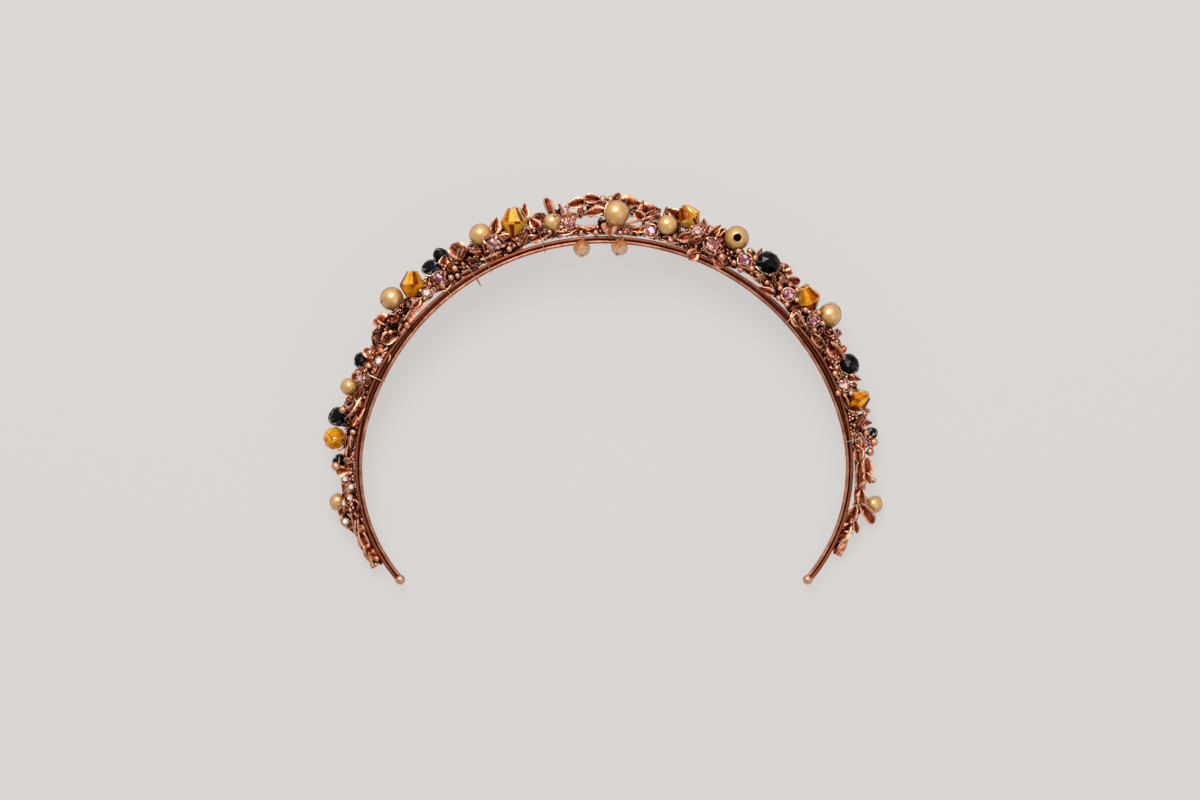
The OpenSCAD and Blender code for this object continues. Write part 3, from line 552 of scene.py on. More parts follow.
# %% Tubes, balls and turned shapes
def tube(path, radii, sides=7, wear=0.7):
    """A closed tube along a path. radii is one number or one for each point."""
    n = len(path)
    radii = radii if isinstance(radii, (list, tuple)) else [radii] * n
    points, faces = [], []
    across = None
    for i, p in enumerate(path):
        along = (path[min(i + 1, n - 1)] - path[max(i - 1, 0)]).normalized()
        if across is None:
            across = along.orthogonal().normalized()
        across = (across - along * across.dot(along)).normalized()
        up = along.cross(across)
        for k in range(sides):
            a = math.tau * k / sides
            points.append(p + radii[i] * (math.cos(a) * across + math.sin(a) * up))
    for i in range(n - 1):
        for k in range(sides):
            j = (k + 1) % sides
            faces.append((i * sides + k, i * sides + j, (i + 1) * sides + j, (i + 1) * sides + k))
    faces.append(tuple(range(sides))[::-1])
    faces.append(tuple((n - 1) * sides + k for k in range(sides)))
    return points, faces, [wear] * len(points)


def curve(knots, steps=6):
    """A smooth path through knots."""
    path = []
    ends = [2 * knots[0] - knots[1], *knots, 2 * knots[-1] - knots[-2]]
    for a, b, c, d in zip(ends, ends[1:], ends[2:], ends[3:]):
        for i in range(steps):
            t = i / steps
            path.append(
                0.5 * (2 * b + (c - a) * t + (2 * a - 5 * b + 4 * c - d) * t * t
                       + (3 * b - a - 3 * c + d) * t * t * t)
            )
    return [*path, knots[-1]]


def ball(r, level=2, stretch=1.0, wear=0.85):
    """A ball, brighter on its front than round its foot."""
    mesh = bmesh.new()
    bmesh.ops.create_icosphere(mesh, subdivisions=level, radius=1)
    points = [Vector((v.co.x * r, v.co.y * r, v.co.z * r * stretch)) for v in mesh.verts]
    wears = [wear * min(1, 0.55 + 0.6 * max(0, v.co.z + 0.2)) for v in mesh.verts]
    faces = [[v.index for v in face.verts] for face in mesh.faces]
    mesh.free()
    return points, faces, wears


def turned_ring(profile, sides, ridge=0.0, ridges=0, wear=0.8):
    """Turns a closed profile of (radius, height) round Z. ridges press flutes into it."""
    points, wears, faces = [], [], []
    n = len(profile)
    for k in range(sides):
        a = math.tau * k / sides
        swell = 1 + ridge * math.cos(ridges * a)
        for r, z in profile:
            points.append(Vector((r * swell * math.cos(a), r * swell * math.sin(a), z)))
            wears.append(min(1, wear + ridge * 3 * math.cos(ridges * a)))
    for k in range(sides):
        m = (k + 1) % sides
        for i in range(n):
            j = (i + 1) % n
            faces.append((k * n + i, m * n + i, m * n + j, k * n + j))
    return points, faces, wears


print("a ball has", len(ball(1)[1]), "faces")

# %% [markdown]
# A flower is five cupped petals round a small ball. A setting is a turned cup with claws that
# bend in over its stone, and some settings carry a ring of balls as petals.


# %% Flowers
# In radii of the flower
PETAL_OUT, PETAL_LONG, PETAL_WIDE, CENTRE_UP = 0.12, 0.88, 0.86, 0.16


def flower(mould, where, r, rng, petals=5, centre=0.24, pitch=24):
    for k in range(petals):
        spin = turned(360 * k / petals + rng.uniform(-6, 6), "Z")
        lift = Matrix.Translation((0, PETAL_OUT * r, 0)) @ turned(pitch + rng.uniform(-8, 8), "X")
        long, wide = r * PETAL_LONG, r * PETAL_WIDE
        petal = leaf(long, wide, "petal", rng, rows=8, rim=0.14, cup=0.16, sag=0.1, veins=3)
        mould.add(petal, where @ spin @ lift)
    mould.add(ball(r * centre, 2), where @ Matrix.Translation((0, 0, CENTRE_UP * r)))


bloom = Mould()
flower(bloom, Matrix.Identity(4), 3, random.Random(1))
print("a flower has", len(bloom.faces), "faces")

# %% Settings of the stones
# In radii of the stone. Columns: distance from the middle, height
CUP = [
    (0.4, -1.1), (1, -0.8), (1.26, -0.3), (1.34, 0.02), (1.14, 0.04), (1.08, -0.2), (0.85, -0.6),
    (0.36, -0.94),
]
CLAW = [(1.32, -0.4), (1.34, 0.2), (1.12, 0.46), (0.8, 0.42)]
CLAW_R, CLAW_TIP_R = 0.17, 0.12
PETAL_REACH, PETAL_DOWN, PETAL_R = 1.34 + 0.5, -0.15, 0.56
FOOT_DOWN = -0.9
# In millimetres
LEAST_PETAL_R, FOOT_R = 0.55, 0.42
# Settings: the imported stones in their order, then the small clear ones. Columns: station, lift,
# depth, radius, turn, lean, claws, ball petals round the cup, flutes of the rim
SETTINGS = [
    (-65.6, 5.9, -0.6, 1.3, 20, 20, 4, 0, 0),
    (-58.4, 5.2, -1.6, 1.1, 60, 30, 4, 0, 0),
    (-38.3, 6, 0.6, 1.6, 60, 25, 4, 0, 0),
    (-24.4, 6.1, 0.9, 2.3, 160, 40, 5, 0, 14),
    (-7.4, 5.9, 0.4, 1.1, -40, 15, 4, 4, 0),
    (10.4, 4.6, 0.5, 1.5, 0, 10, 4, 0, 0),
    (19.9, 7.8, 0.4, 1.6, 30, 35, 4, 0, 10),
    (24, 5.6, 0.9, 2, -20, 30, 5, 0, 16),
    (31.7, 6.3, 0.8, 1.6, 0, 5, 5, 6, 0),
    (43.6, 6.1, 0.6, 1.5, 30, 10, 5, 6, 0),
    (51.4, 6.4, 0.4, 1.4, 150, 15, 5, 5, 0),
    (56.6, 9.6, -3.2, 1.1, -80, 45, 4, 0, 0),
    (66.6, 4.8, -0.4, 1.7, 10, 15, 4, 4, 0),
    (80.2, 5.6, -2.4, 1.2, 30, 15, 4, 4, 0),
    (-88, 4, -0.4, 0.7, 0, 0, 3, 0, 0),
    (-89.8, 2.4, -0.3, 0.7, 0, 0, 3, 0, 0),
    (-92.2, 2.8, -0.2, 0.7, 0, 0, 3, 0, 0),
    (-93.4, 4.2, 0, 0.7, 0, 0, 3, 0, 0),
    (-60.6, 3.9, -0.4, 1, 0, 0, 4, 3, 0),
    (-42.3, 5.2, 0.9, 0.9, 0, 0, 4, 3, 0),
    (-97.4, 4.4, 0.1, 0.8, 0, 0, 3, 0, 0),
]
STONES = SETTINGS[:14]
# An ornament deeper than this grows from the stem at the back.
BACK_FROM = -3.9


def stem_middle(station, depth):
    """Middle of the stem that an ornament at this depth grows from."""
    lifts, depths = (BACK_LIFT, BACK_DEPTH) if depth < BACK_FROM else (VINE_LIFT, VINE_DEPTH)
    return on_arch(station, between(lifts, station), between(depths, station))


def setting(mould, row, rng):
    station, lift, depth, r, turn, lean, claws, petals, flutes = row
    where = place(station, lift, depth) @ facing(turn, lean)
    sides = 28 if flutes else 20
    profile = [(x * r, z * r) for x, z in CUP]
    mould.add(turned_ring(profile, sides, 0.05 if flutes else 0, flutes or 1), where)
    for k in range(claws):
        spin = where @ turned(360 * (k + 0.5) / claws, "Z")
        path = curve([Vector((x * r, 0, z * r)) for x, z in CLAW], 3)
        mould.add(tube(path, [CLAW_R * r] * (len(path) - 1) + [CLAW_TIP_R * r], 6, 0.95), spin)
    for k in range(petals):
        a = 360 * (k + 0.25 * rng.random()) / petals
        spot = where @ turned(a, "Z") @ Matrix.Translation((0, PETAL_REACH * r, PETAL_DOWN * r))
        mould.add(ball(max(LEAST_PETAL_R, PETAL_R * r) * rng.uniform(0.9, 1.15), 2, 0.9), spot)
    foot = where @ Vector((0, 0, FOOT_DOWN * r))
    stem = stem_middle(station, depth)
    path = curve([stem, (stem + foot) / 2 + Vector((0, 0, 0.3)), foot], 4)
    mould.add(tube(path, FOOT_R, 6, 0.5))


print("settings:", len(SETTINGS))

# %% [markdown]
# ## The foliage, piece by piece
# These tables say where the leaves, berries, twigs and flowers of the three castings grow. Real
# foliage of this kind is cast in small lots and soldered on, so no two leaves are quite alike:
# each gets its own sway, twist and sag from a fixed seed.

# %% Leaves of the foliage
# Columns: station, lift, depth, turn from outwards, pitch, roll, length, width, form
LEAVES = [
    (-97, 0.6, -0.6, 100, 0, 6, 5.6, 2.8, "petal"),
    (-100.6, 0.8, -0.5, 102, 0, -8, 5, 2.4, "strip"),
    (-95.4, 4.6, -0.8, 103, 0, 10, 6, 3.6, "leaf"), (-92, 4, -0.2, 120, 8, -20, 4, 2.6, "leaf"),
    (-92.6, 1.6, -0.4, 100, 4, 8, 5, 2.6, "petal"), (-94, 4.4, -1, 60, 0, 10, 3, 2.6, "petal"),
    (-86, 3.6, -1, 20, 10, 0, 3, 3, "petal"), (-83.6, 3.6, -0.4, -100, 0, 12, 5.4, 2.6, "leaf"),
    (-81, 2.8, -0.4, -94, 0, 10, 8, 2.6, "strip"), (-75.6, 4, 0, -100, 4, -10, 8, 3, "strip"),
    (-73, 5.6, -0.6, 60, 0, 20, 3.6, 2, "leaf"), (-70, 5, -1, 110, 10, 20, 4.4, 2.6, "leaf"),
    (-66, 4, -0.4, -40, 10, 20, 3.4, 2.6, "petal"), (-64.6, 5.8, -2, 40, -8, 20, 3.8, 2.8, "petal"),
    (-60.6, 5.6, -1.6, -20, 10, 0, 3.4, 3, "petal"), (-57.6, 2.8, -0.2, 100, 6, 10, 5, 2.6, "leaf"),
    (-56, 5.4, -1, 0, 0, 0, 4, 3.6, "petal"), (-53.4, 3.6, 0.2, 60, 10, 10, 4.6, 4, "petal"),
    (-52.4, 6.6, -1.8, 10, 0, 30, 4.4, 3.4, "petal"),
    (-52.6, 3.4, 0.2, -84, 4, 10, 7.2, 2.2, "strip"), (-47.4, 5, 0, -104, 8, 14, 6.4, 3.2, "leaf"),
    (-44, 5.6, 0, 110, 10, 10, 4.4, 2.4, "leaf"), (-40, 3.6, 0, -100, 5, -10, 5.4, 2.8, "leaf"),
    (-36.6, 7.4, -2, -50, -5, 0, 4.6, 3, "leaf"), (-31.4, 6.6, -0.4, 4, 8, 0, 5, 4.8, "petal"),
    (-34, 3, 0, -106, 0, 12, 5, 2.4, "leaf"), (-28, 3, -0.1, -96, 4, 10, 7.4, 2.6, "strip"),
    (-26.6, 4.6, 0, -100, 0, -14, 4.6, 2, "leaf"), (-23.2, 2.7, 0, -92, 0, 8, 7, 2.8, "leaf"),
    (-20.4, 5.4, -0.6, 60, 10, 20, 4.4, 3.2, "leaf"), (-16.4, 3.6, 0.2, -86, 2, 10, 6, 2.2, "leaf"),
    (-14, 5.8, -1, 30, 0, 10, 4.6, 3, "leaf"), (-10, 3.6, 0.4, -84, 0, -12, 6, 2, "leaf"),
    (-6.6, 4.6, 0, 88, 0, 14, 6, 2, "leaf"), (-4, 3.4, 0.4, -92, 0, 10, 6.4, 1.9, "leaf"),
    (0.4, 8.8, 0, 87, -10, 20, 7, 3.4, "leaf"), (1.1, 5.7, 1.5, -179, 4, 0, 4.6, 4.5, "heart"),
    (6, 4, 0.4, -82, 4, 0, 7, 1.9, "leaf"), (8.6, 7, 0, 60, 12, 10, 4.4, 3, "leaf"),
    (8.4, 7, -0.8, -35, 8, 30, 4.6, 2.6, "leaf"), (13, 3.2, 0.2, -88, 0, 12, 6, 2, "leaf"),
    (16.6, 4.2, 0.3, -60, 16, 10, 4.6, 3, "leaf"), (19, 3.8, 0.4, -30, 30, 40, 4, 3.2, "petal"),
    (21.4, 3, 0.4, 160, 20, 0, 3.4, 3.4, "petal"), (22.6, 7.2, -1, -30, 0, 20, 5, 3, "leaf"),
    (25.4, 3.4, 0.4, -120, 10, 20, 3.8, 2.8, "petal"), (33.4, 4, -0.4, -80, 0, -10, 6, 2.4, "leaf"),
    (37, 4.6, -0.6, -100, 8, 14, 6.4, 3, "leaf"), (39.6, 6.4, -1.8, -60, 6, 20, 4.6, 2.6, "leaf"),
    (41.6, 3.6, -0.2, 100, 5, 10, 5, 2.2, "leaf"), (47, 3.4, 0.2, -100, 8, 10, 4.6, 3.4, "petal"),
    (49.4, 2.8, 0.4, 60, 10, 0, 3.4, 2.8, "petal"), (53.6, 4, 0, -90, 5, 15, 6.4, 3.2, "leaf"),
    (54.6, 9, -2.8, -118, 0, 14, 7.4, 3.6, "leaf"), (57, 5.8, -0.2, -76, 6, 10, 8.2, 4, "leaf"),
    (59.4, 3.4, -0.2, -92, 0, -14, 6.4, 2.4, "leaf"), (64.4, 5.4, -0.8, 60, 10, 0, 3, 2.4, "petal"),
    (65.4, 6.6, -1.4, -44, 0, 20, 3.8, 2.2, "leaf"), (68.4, 3, -0.6, -92, 4, 10, 6.6, 2.8, "leaf"),
    (73.6, 4.4, -0.8, -98, 0, 14, 5.6, 3.6, "leaf"), (75.4, 4.8, -1.2, -28, -6, 20, 4.2, 3, "leaf"),
    (78, 4, -0.6, -96, 0, -12, 5, 2, "leaf"), (81.4, 3.2, -0.4, -96, 0, 14, 4.6, 2, "leaf"),
    (84.2, 3.4, -0.3, -97, 4, -18, 7.8, 3.4, "petal"),
    (88.4, 5.2, -0.8, 84, 0, 14, 6.2, 2.8, "petal"), (86.8, 4.8, -0.6, -70, 12, 0, 3, 2.4, "bud"),
    (90.4, 3.6, -0.6, -84, 8, 10, 4.4, 2.6, "petal"),
    (93.6, 3.4, -0.8, -46, 0, 10, 6.4, 3.2, "petal"),
    (94, 2.2, -0.5, -106, 0, 10, 5.6, 3.2, "petal"), (97.8, 2.7, -0.8, -80, 0, 0, 3, 2, "bud"),
    (98.4, 1.2, -0.3, -118, 0, 6, 6, 4.2, "petal"), (102, 0.8, -0.8, -100, 0, -10, 4, 2.4, "petal"),
]
BACK_LEAVES = [
    (-88, 3.4, -2, -12, -66, 14, 6.2, 3, "leaf"), (-72, 5.6, -3.6, 20, -40, 20, 5.4, 3.2, "leaf"),
    (-64.6, 6, -5, -30, -50, 10, 5, 3.4, "petal"), (-58, 6.4, -5.4, 48, -46, 24, 4.8, 2.8, "leaf"),
    (-54.4, 7, -5.6, -30, -20, 20, 5, 3.6, "petal"),
    (-49, 7, -6.4, -18, -64, -16, 6.4, 3.2, "leaf"),
    (-44, 7.2, -6.6, -40, -40, -20, 6, 3.4, "leaf"), (-38.6, 7.6, -7, 34, -58, 26, 6, 4, "leaf"),
    (-34, 8, -7.4, -30, -50, 20, 5.4, 3.4, "petal"),
    (-27, 8.4, -7.6, 44, -44, 18, 5.2, 3.2, "leaf"),
    (-23.4, 9.2, -6.6, -38, -10, 20, 4.8, 3.6, "leaf"),
    (-19.6, 8.6, -8, -14, -62, -18, 6.2, 3.4, "leaf"), (-17, 9.4, -7, -25, 0, 20, 5.4, 3.4, "leaf"),
    (-11, 9, -7.4, 0, 6, 30, 5.4, 2.8, "petal"), (-13.4, 9, -8.4, 56, -50, 22, 5.6, 4, "leaf"),
    (-3.4, 12.1, -8.6, 95, 4, 16, 6.4, 3.2, "leaf"), (-1, 9.2, -10, 16, -66, -12, 6.4, 3.4, "leaf"),
    (-0.9, 12.4, -8.4, 80, 16, 0, 4.2, 2.8, "petal"), (-5, 10.6, -8.4, 176, 0, 0, 3, 1.8, "petal"),
    (0.9, 10.2, -5, 70, 0, 0, 3.6, 3, "petal"), (3, 12, -8.8, -92, 0, -20, 6.2, 4.4, "leaf"),
    (1.6, 11.4, -8, -40, 20, 20, 3.4, 2.6, "petal"), (7, 9.4, -8.4, -66, 0, -20, 6.4, 4.6, "leaf"),
    (9.6, 9, -9, -44, -52, -20, 5.6, 4, "leaf"), (16.8, 9.8, -7.4, 70, 0, 20, 6, 4, "leaf"),
    (15, 8.6, -8.6, 12, -66, 20, 6.4, 3.4, "leaf"), (21.4, 8.6, -8, 48, -40, -24, 5, 3, "leaf"),
    (25.6, 8.6, -7, -40, -10, 10, 5, 3.4, "leaf"), (34, 8.2, -6.4, 0, -20, 10, 4.6, 2.6, "leaf"),
    (37.6, 8.2, -7, -46, -52, 18, 5.8, 3.8, "leaf"), (41, 8.2, -6.2, -50, -10, 10, 5, 3, "petal"),
    (44.6, 7.8, -6.6, 12, -66, -20, 6.2, 3.2, "leaf"),
    (49, 7.4, -6.2, -20, -40, 20, 5.6, 3.2, "leaf"), (54, 7, -5.8, 42, -48, 24, 5.2, 3, "leaf"),
    (60, 6.4, -5.4, -20, -40, 20, 5.4, 3.2, "leaf"), (66, 6, -4.4, -70, -6, 10, 4.6, 2.6, "leaf"),
    (70, 5.8, -4.4, 10, -50, 0, 5, 3, "leaf"),
]
print("leaves:", len(LEAVES), "in front and", len(BACK_LEAVES), "behind")

# %% Berries, twigs and flowers of the foliage
# Columns: station, lift, depth, radius
BALLS = [
    (-95, 4.2, -1.6, 1), (-85.4, 6.6, -1, 1.3), (-77.4, 3.4, 0.6, 0.9), (-73.4, 7.6, -0.4, 1.1),
    (-62.6, 5.6, -1, 1.1), (-60, 7, -2, 1.2), (-50.4, 2.9, 1, 1), (-38.6, 4, 0.6, 1),
    (-36.8, 6, 0, 1), (-36, 4.2, 0.9, 0.9), (-34.2, 5.6, 0.4, 1), (-34.6, 3.6, 0.6, 0.8),
    (-21.6, 3.4, 0.8, 0.9), (-12, 4.6, 0.6, 0.8), (-1.8, 2.9, 0.8, 0.9), (3.6, 3, 0.8, 0.8),
    (-0.2, 12.5, -8.6, 1.1), (1.4, 12.5, -8.6, 1.1), (2.6, 11.8, -8.8, 0.8),
    (-2.4, 12.4, -9.4, 0.8), (15, 3.2, 0.4, 0.9), (27, 3.9, 0.8, 1.2), (38.4, 4.8, 0.4, 0.8),
    (41, 6.4, -0.4, 0.8), (48.6, 6.6, 0, 0.9), (62.6, 4.8, 0.2, 0.8), (63.6, 3.6, 0.2, 0.9),
    (74.2, 7.4, -2, 0.8), (78.2, 6.4, -2.6, 1.1), (80.4, 8.2, -2.6, 1.1), (82.4, 6.8, -2.6, 1.1),
    (88.4, 6.8, -1.6, 0.8),
]
# Columns: station, lift, depth of both ends, radius
TWIGS = [
    (-95, 2.6, -1.2, -93, 5, -2.6, 0.5), (-84, 3.6, -1.8, -79.6, 5, -3.4, 0.5),
    (-78, 4.4, -2, -75, 6.2, -3, 0.5), (-71, 4.6, -1.8, -73.4, 7.4, -0.6, 0.45),
    (-64, 4.2, -1.6, -62.6, 7, -3.4, 0.5), (-62, 4.4, -1.8, -60, 6.4, -5, 0.55),
    (-53, 4.4, -1.6, -51, 7.2, -6, 0.6), (-47.6, 5.4, -1.8, -48, 9, -3.2, 0.55),
    (-43, 5.4, -1.8, -43.4, 7, -3, 0.55), (-40, 5.4, -1.6, -41, 7.2, -6.6, 0.6),
    (-37, 4.8, -1.6, -37.6, 8, -3.4, 0.55), (-33, 4.4, -1.4, -33, 8, -7.2, 0.6),
    (-26.4, 4.2, -1.2, -26, 8, -2.6, 0.55), (-24.4, 4.2, -1.4, -24, 8.4, -8, 0.6),
    (-19, 5, -1.4, -19, 7, -3.4, 0.55), (-16, 5, -1.4, -15, 9, -8.4, 0.6),
    (-11, 5, -1.2, -11, 6.4, -1.6, 0.5), (-8, 4.8, -1.4, -7, 9, -8.6, 0.6),
    (-7.4, 4.8, -1.4, -4.6, 10.4, -7, 0.45), (-7.6, 6.9, -5, -7.4, 11.2, -7, 0.5),
    (1, 4.4, -1.2, 2, 6.4, -1, 0.6), (0, 4.4, -1.6, 1, 9, -9, 0.65),
    (3, 4.6, 0.4, 8.2, 7.2, 0.2, 0.4), (8.2, 7.2, 0.2, 11.2, 9.4, -0.6, 0.4),
    (10, 5, -1.4, 10, 9, -8.8, 0.6), (13.6, 4.8, -1, 13.6, 6, -1.2, 0.5),
    (18, 5, -1.4, 18, 9, -5.4, 0.6), (27, 4.6, -1.4, 28, 8.4, -2.4, 0.55),
    (25, 4.6, -1.4, 24, 8.6, -7.6, 0.6), (34.4, 5, -1.4, 35.4, 7.2, -2.8, 0.55),
    (38, 5.2, -1.6, 39, 8.2, -6.6, 0.6), (44.6, 4.8, -1.6, 46.6, 7.2, -3.2, 0.55),
    (47, 4.8, -1.6, 47, 7.6, -6.2, 0.6), (44.4, 7.6, -5.6, 45.2, 11.6, -5, 0.6),
    (51.6, 4.4, -1.4, 52.4, 8.8, -3.2, 0.55), (56, 4.6, -1.6, 57, 7, -5.6, 0.6),
    (62, 4.8, -1.6, 63, 6.6, -2.8, 0.55), (70, 4.6, -1.6, 71, 5.6, -3, 0.5),
    (71, 5.6, -3, 73.8, 8.6, -3.6, 0.5), (76.4, 5, -1.8, 78.4, 7.2, -3.8, 0.5),
    (80, 5, -1.8, 80.2, 6, -2.6, 0.5), (86.6, 4.6, -1.8, 88.4, 6.8, -1.8, 0.45),
    (91, 3.8, -1.6, 93.4, 6, -3, 0.5),
]
# Columns: station, lift, depth, radius, turn, lean
FLOWERS = [
    (-55.6, 8, -4, 2.6, 0, 60), (-2.6, 10.6, -9.4, 3.6, -30, 70), (20.9, 3.6, -0.2, 2.4, 20, 20),
    (5.4, 10.4, -8.6, 2.8, -30, 66), (39.6, 10.2, -6, 2.8, 0, 40), (58, 7.4, -5.4, 2.8, 0, 50),
]
print("berries:", len(BALLS), "twigs:", len(TWIGS), "flowers:", len(FLOWERS))

# %% [markdown]
# Two node trees make what follows a stem. One winds two strands round the stem's line, as the
# castings' twisted stems show. The other grows sprigs out of it: small leaves, berries and
# tendrils, picked and turned by chance with a fixed seed.


# %% Helpers for trees that follow a stem
def bake(tree, name, paths, values):
    """Runs a tree over polylines and returns the mesh that it makes."""
    points, edges = [], []
    for path in paths:
        edges += [(len(points) + i, len(points) + i + 1) for i in range(len(path) - 1)]
        points += [tuple(p) for p in path]
    mesh = bpy.data.meshes.new(name + " path")
    mesh.from_pydata(points, edges, [])
    source = bpy.data.objects.new(name + " path", mesh)
    bpy.context.scene.collection.objects.link(source)
    modifier = source.modifiers.new("shape", "NODES")
    modifier.node_group = tree
    for item in tree.interface.items_tree:
        if item.in_out == "INPUT" and item.name in values:
            modifier[item.identifier] = values[item.name]
    graph = bpy.context.evaluated_depsgraph_get()
    made = bpy.data.meshes.new_from_object(source.evaluated_get(graph), depsgraph=graph)
    made.name = name
    source.modifiers.remove(modifier)
    bpy.data.objects.remove(source)
    made.transform(LAY)
    return made


def end_tree(tree, end, geometry, material):
    coated = {"Geometry": geometry, "Material": material}
    feed(tree, end, {0: add_node(tree, "GeometryNodeSetMaterial", coated)})
    print(tree.name, "has", len(tree.nodes), "nodes")


# %% Twisted strands
strands, given, end = new_group(
    "Twisted strands",
    "GeometryNodeTree",
    [
        ("Path", "Geometry", None),
        ("Turns per mm", "Float", 0.12),
        ("Spread", "Float", 0.55),
        ("Radius", "Float", 0.6),
        ("Sides", "Int", 8),
        ("Material", "Material", None),
    ],
    [("Strands", "Geometry")],
)
line = add_node(strands, "GeometryNodeMeshToCurve", {"Mesh": given["Path"]})
length = add_node(strands, "GeometryNodeSplineParameter").outputs["Length"]
turns = maths(strands, "MULTIPLY", length, given["Turns per mm"])
turn = maths(strands, "MULTIPLY", turns, math.tau)
tangent = add_node(strands, "GeometryNodeInputTangent")
normal = add_node(strands, "GeometryNodeInputNormal")
side = vectors(strands, "CROSS_PRODUCT", tangent, normal)
sizes = {"Resolution": given["Sides"], "Radius": given["Radius"]}
profile = add_node(strands, "GeometryNodeCurvePrimitiveCircle", sizes)
join = add_node(strands, "GeometryNodeJoinGeometry")
for start in (0, math.pi):
    phase = maths(strands, "ADD", turn, start)
    waves = [maths(strands, kind, phase) for kind in ("COSINE", "SINE")]
    reach = [maths(strands, "MULTIPLY", wave, given["Spread"]) for wave in waves]
    ways = zip((normal, side), reach)
    right, up = [vectors(strands, "SCALE", way, Scale=far) for way, far in ways]
    shift = vectors(strands, "ADD", right, up)
    moved = add_node(strands, "GeometryNodeSetPosition", {"Geometry": line, "Offset": shift})
    shape = {"Curve": moved, "Profile Curve": profile, "Fill Caps": True}
    feed(strands, join, {0: add_node(strands, "GeometryNodeCurveToMesh", shape)})
outwards = add_node(strands, "GeometryNodeInputNormal")
to_front = add_node(strands, "ShaderNodeSeparateXYZ", {0: outwards}).outputs["Z"]
wear = maths(strands, "MULTIPLY_ADD", to_front, 0.25, 0.6)
worn_strands = {"Geometry": join, "Name": "wear", "Value": wear}
stored = add_node(
    strands, "GeometryNodeStoreNamedAttribute", worn_strands, data_type="FLOAT", domain="POINT"
)
end_tree(strands, end, stored, given["Material"])

# %% Sprigs along a stem
sprigs, given, end = new_group(
    "Sprigs along a stem",
    "GeometryNodeTree",
    [
        ("Path", "Geometry", None),
        ("Count", "Int", 150),
        ("Shapes", "Collection", None),
        ("Kinds", "Int", 5),
        ("Lowest", "Vector", (-0.3, -0.3, -0.8)),
        ("Highest", "Vector", (0.3, 0.3, 0.6)),
        ("Turn from", "Vector", (-0.3, -0.6, -1.6)),
        ("Turn to", "Vector", (1.1, 0.6, 1.6)),
        ("Smallest", "Float", 0.85),
        ("Largest", "Float", 1.65),
        ("Seed", "Int", 1),
        ("Material", "Material", None),
    ],
    [("Sprigs", "Geometry")],
)


def chance(kind, low, high, step):
    """A random value between two others, the seed shifted by step."""
    first, output = {"FLOAT": (2, 1), "FLOAT_VECTOR": (0, 0), "INT": (4, 2)}[kind]
    inputs = {first: low, first + 1: high, 8: maths(sprigs, "ADD", given["Seed"], step)}
    return add_node(sprigs, "FunctionNodeRandomValue", inputs, data_type=kind).outputs[output]


line = add_node(sprigs, "GeometryNodeMeshToCurve", {"Mesh": given["Path"]})
along = {"Curve": line, "Count": given["Count"]}
spots = add_node(sprigs, "GeometryNodeCurveToPoints", along, mode="COUNT")
flat = vectors(sprigs, "MULTIPLY", add_node(sprigs, "GeometryNodeInputPosition"), (1, 1, 0))
outwards = vectors(sprigs, "NORMALIZE", flat)
shift = chance("FLOAT_VECTOR", given["Lowest"], given["Highest"], 1.0)
moved = add_node(sprigs, "GeometryNodeSetPosition", {"Geometry": spots, "Offset": shift})
stand = add_node(
    sprigs, "FunctionNodeAlignRotationToVector", {"Vector": outwards}, axis="Y", pivot_axis="Z"
)
bend = chance("FLOAT_VECTOR", given["Turn from"], given["Turn to"], 2.0)
bend = add_node(sprigs, "FunctionNodeEulerToRotation", {0: bend})
turns = {0: stand, 1: bend}
heading = add_node(sprigs, "FunctionNodeRotateRotation", turns, rotation_space="LOCAL")
kinds = {"Collection": given["Shapes"], "Separate Children": True, "Reset Children": True}
growth = {
    "Points": moved,
    "Instance": add_node(sprigs, "GeometryNodeCollectionInfo", kinds),
    "Pick Instance": True,
    "Instance Index": chance("INT", 0, given["Kinds"], 4.0),
    "Rotation": heading,
    "Scale": chance("FLOAT", given["Smallest"], given["Largest"], 3.0),
}
placed = add_node(sprigs, "GeometryNodeInstanceOnPoints", growth)
real = add_node(sprigs, "GeometryNodeRealizeInstances", {0: placed})
end_tree(sprigs, end, real, given["Material"])

# %% The sprigs' shapes
# Berries of a cluster. Columns: place across, place along, radius
BERRIES = [
    [(0, 0.6, 0.34), (0.36, 1.1, 0.3), (-0.26, 1.2, 0.32)],
    [(0, 0.2, 0.42), (0.5, 0.7, 0.36), (-0.4, 0.8, 0.4)],
]
# Columns: length, width, form, rim, cup, sag, midrib, twist, thickness
SMALL_LEAVES = [
    (2.6, 1.7, "petal", 0.3, 0.16, 0.12, 0.1, 20, 0.34),
    (2.0, 1.8, "petal", 0.34, 0.24, 0.1, 0, 10, 0.34),
    (3.2, 1.3, "strip", 0.4, 0.14, 0.2, 0, 40, 0.34),
    (2.2, 1.5, "bud", 0.2, 0.24, -0.25, 0.2, 10, 0.5),
    (2.8, 1.6, "leaf", 0.3, 0.14, 0.14, 0.14, 20, 0.34),
]
small = random.Random(3)
sprig_shapes = [
    leaf(long, wide, form, small, 5, rim, cup, sag, 0, rib, twist, SMALL_ACROSS, thick)
    for long, wide, form, rim, cup, sag, rib, twist, thick in SMALL_LEAVES
]
for spots in BERRIES:
    berry = Mould()
    for x, y, r in spots:
        berry.add(ball(r, 2), Matrix.Translation((x, y, r / 2)))
    berry.add(tube([Vector((0, -0.2, 0)), Vector((0, 0.5, 0)), Vector((0.05, 1.0, 0.05))], 0.2, 5))
    sprig_shapes.append((berry.points, berry.faces, berry.wear))
sprig_shapes.append(sprig_shapes[-1])
steps = (0, 0.8, 1.6, 2.4, 3.2)
tendril = [
    Vector((0.25 * math.sin(1.7 * t), 0.6 * t, 0.22 * t * t * (1 - 0.22 * t))) for t in steps
]
sprig_shapes.append(tube(tendril, [0.34, 0.32, 0.3, 0.28, 0.32], 6, 0.85))
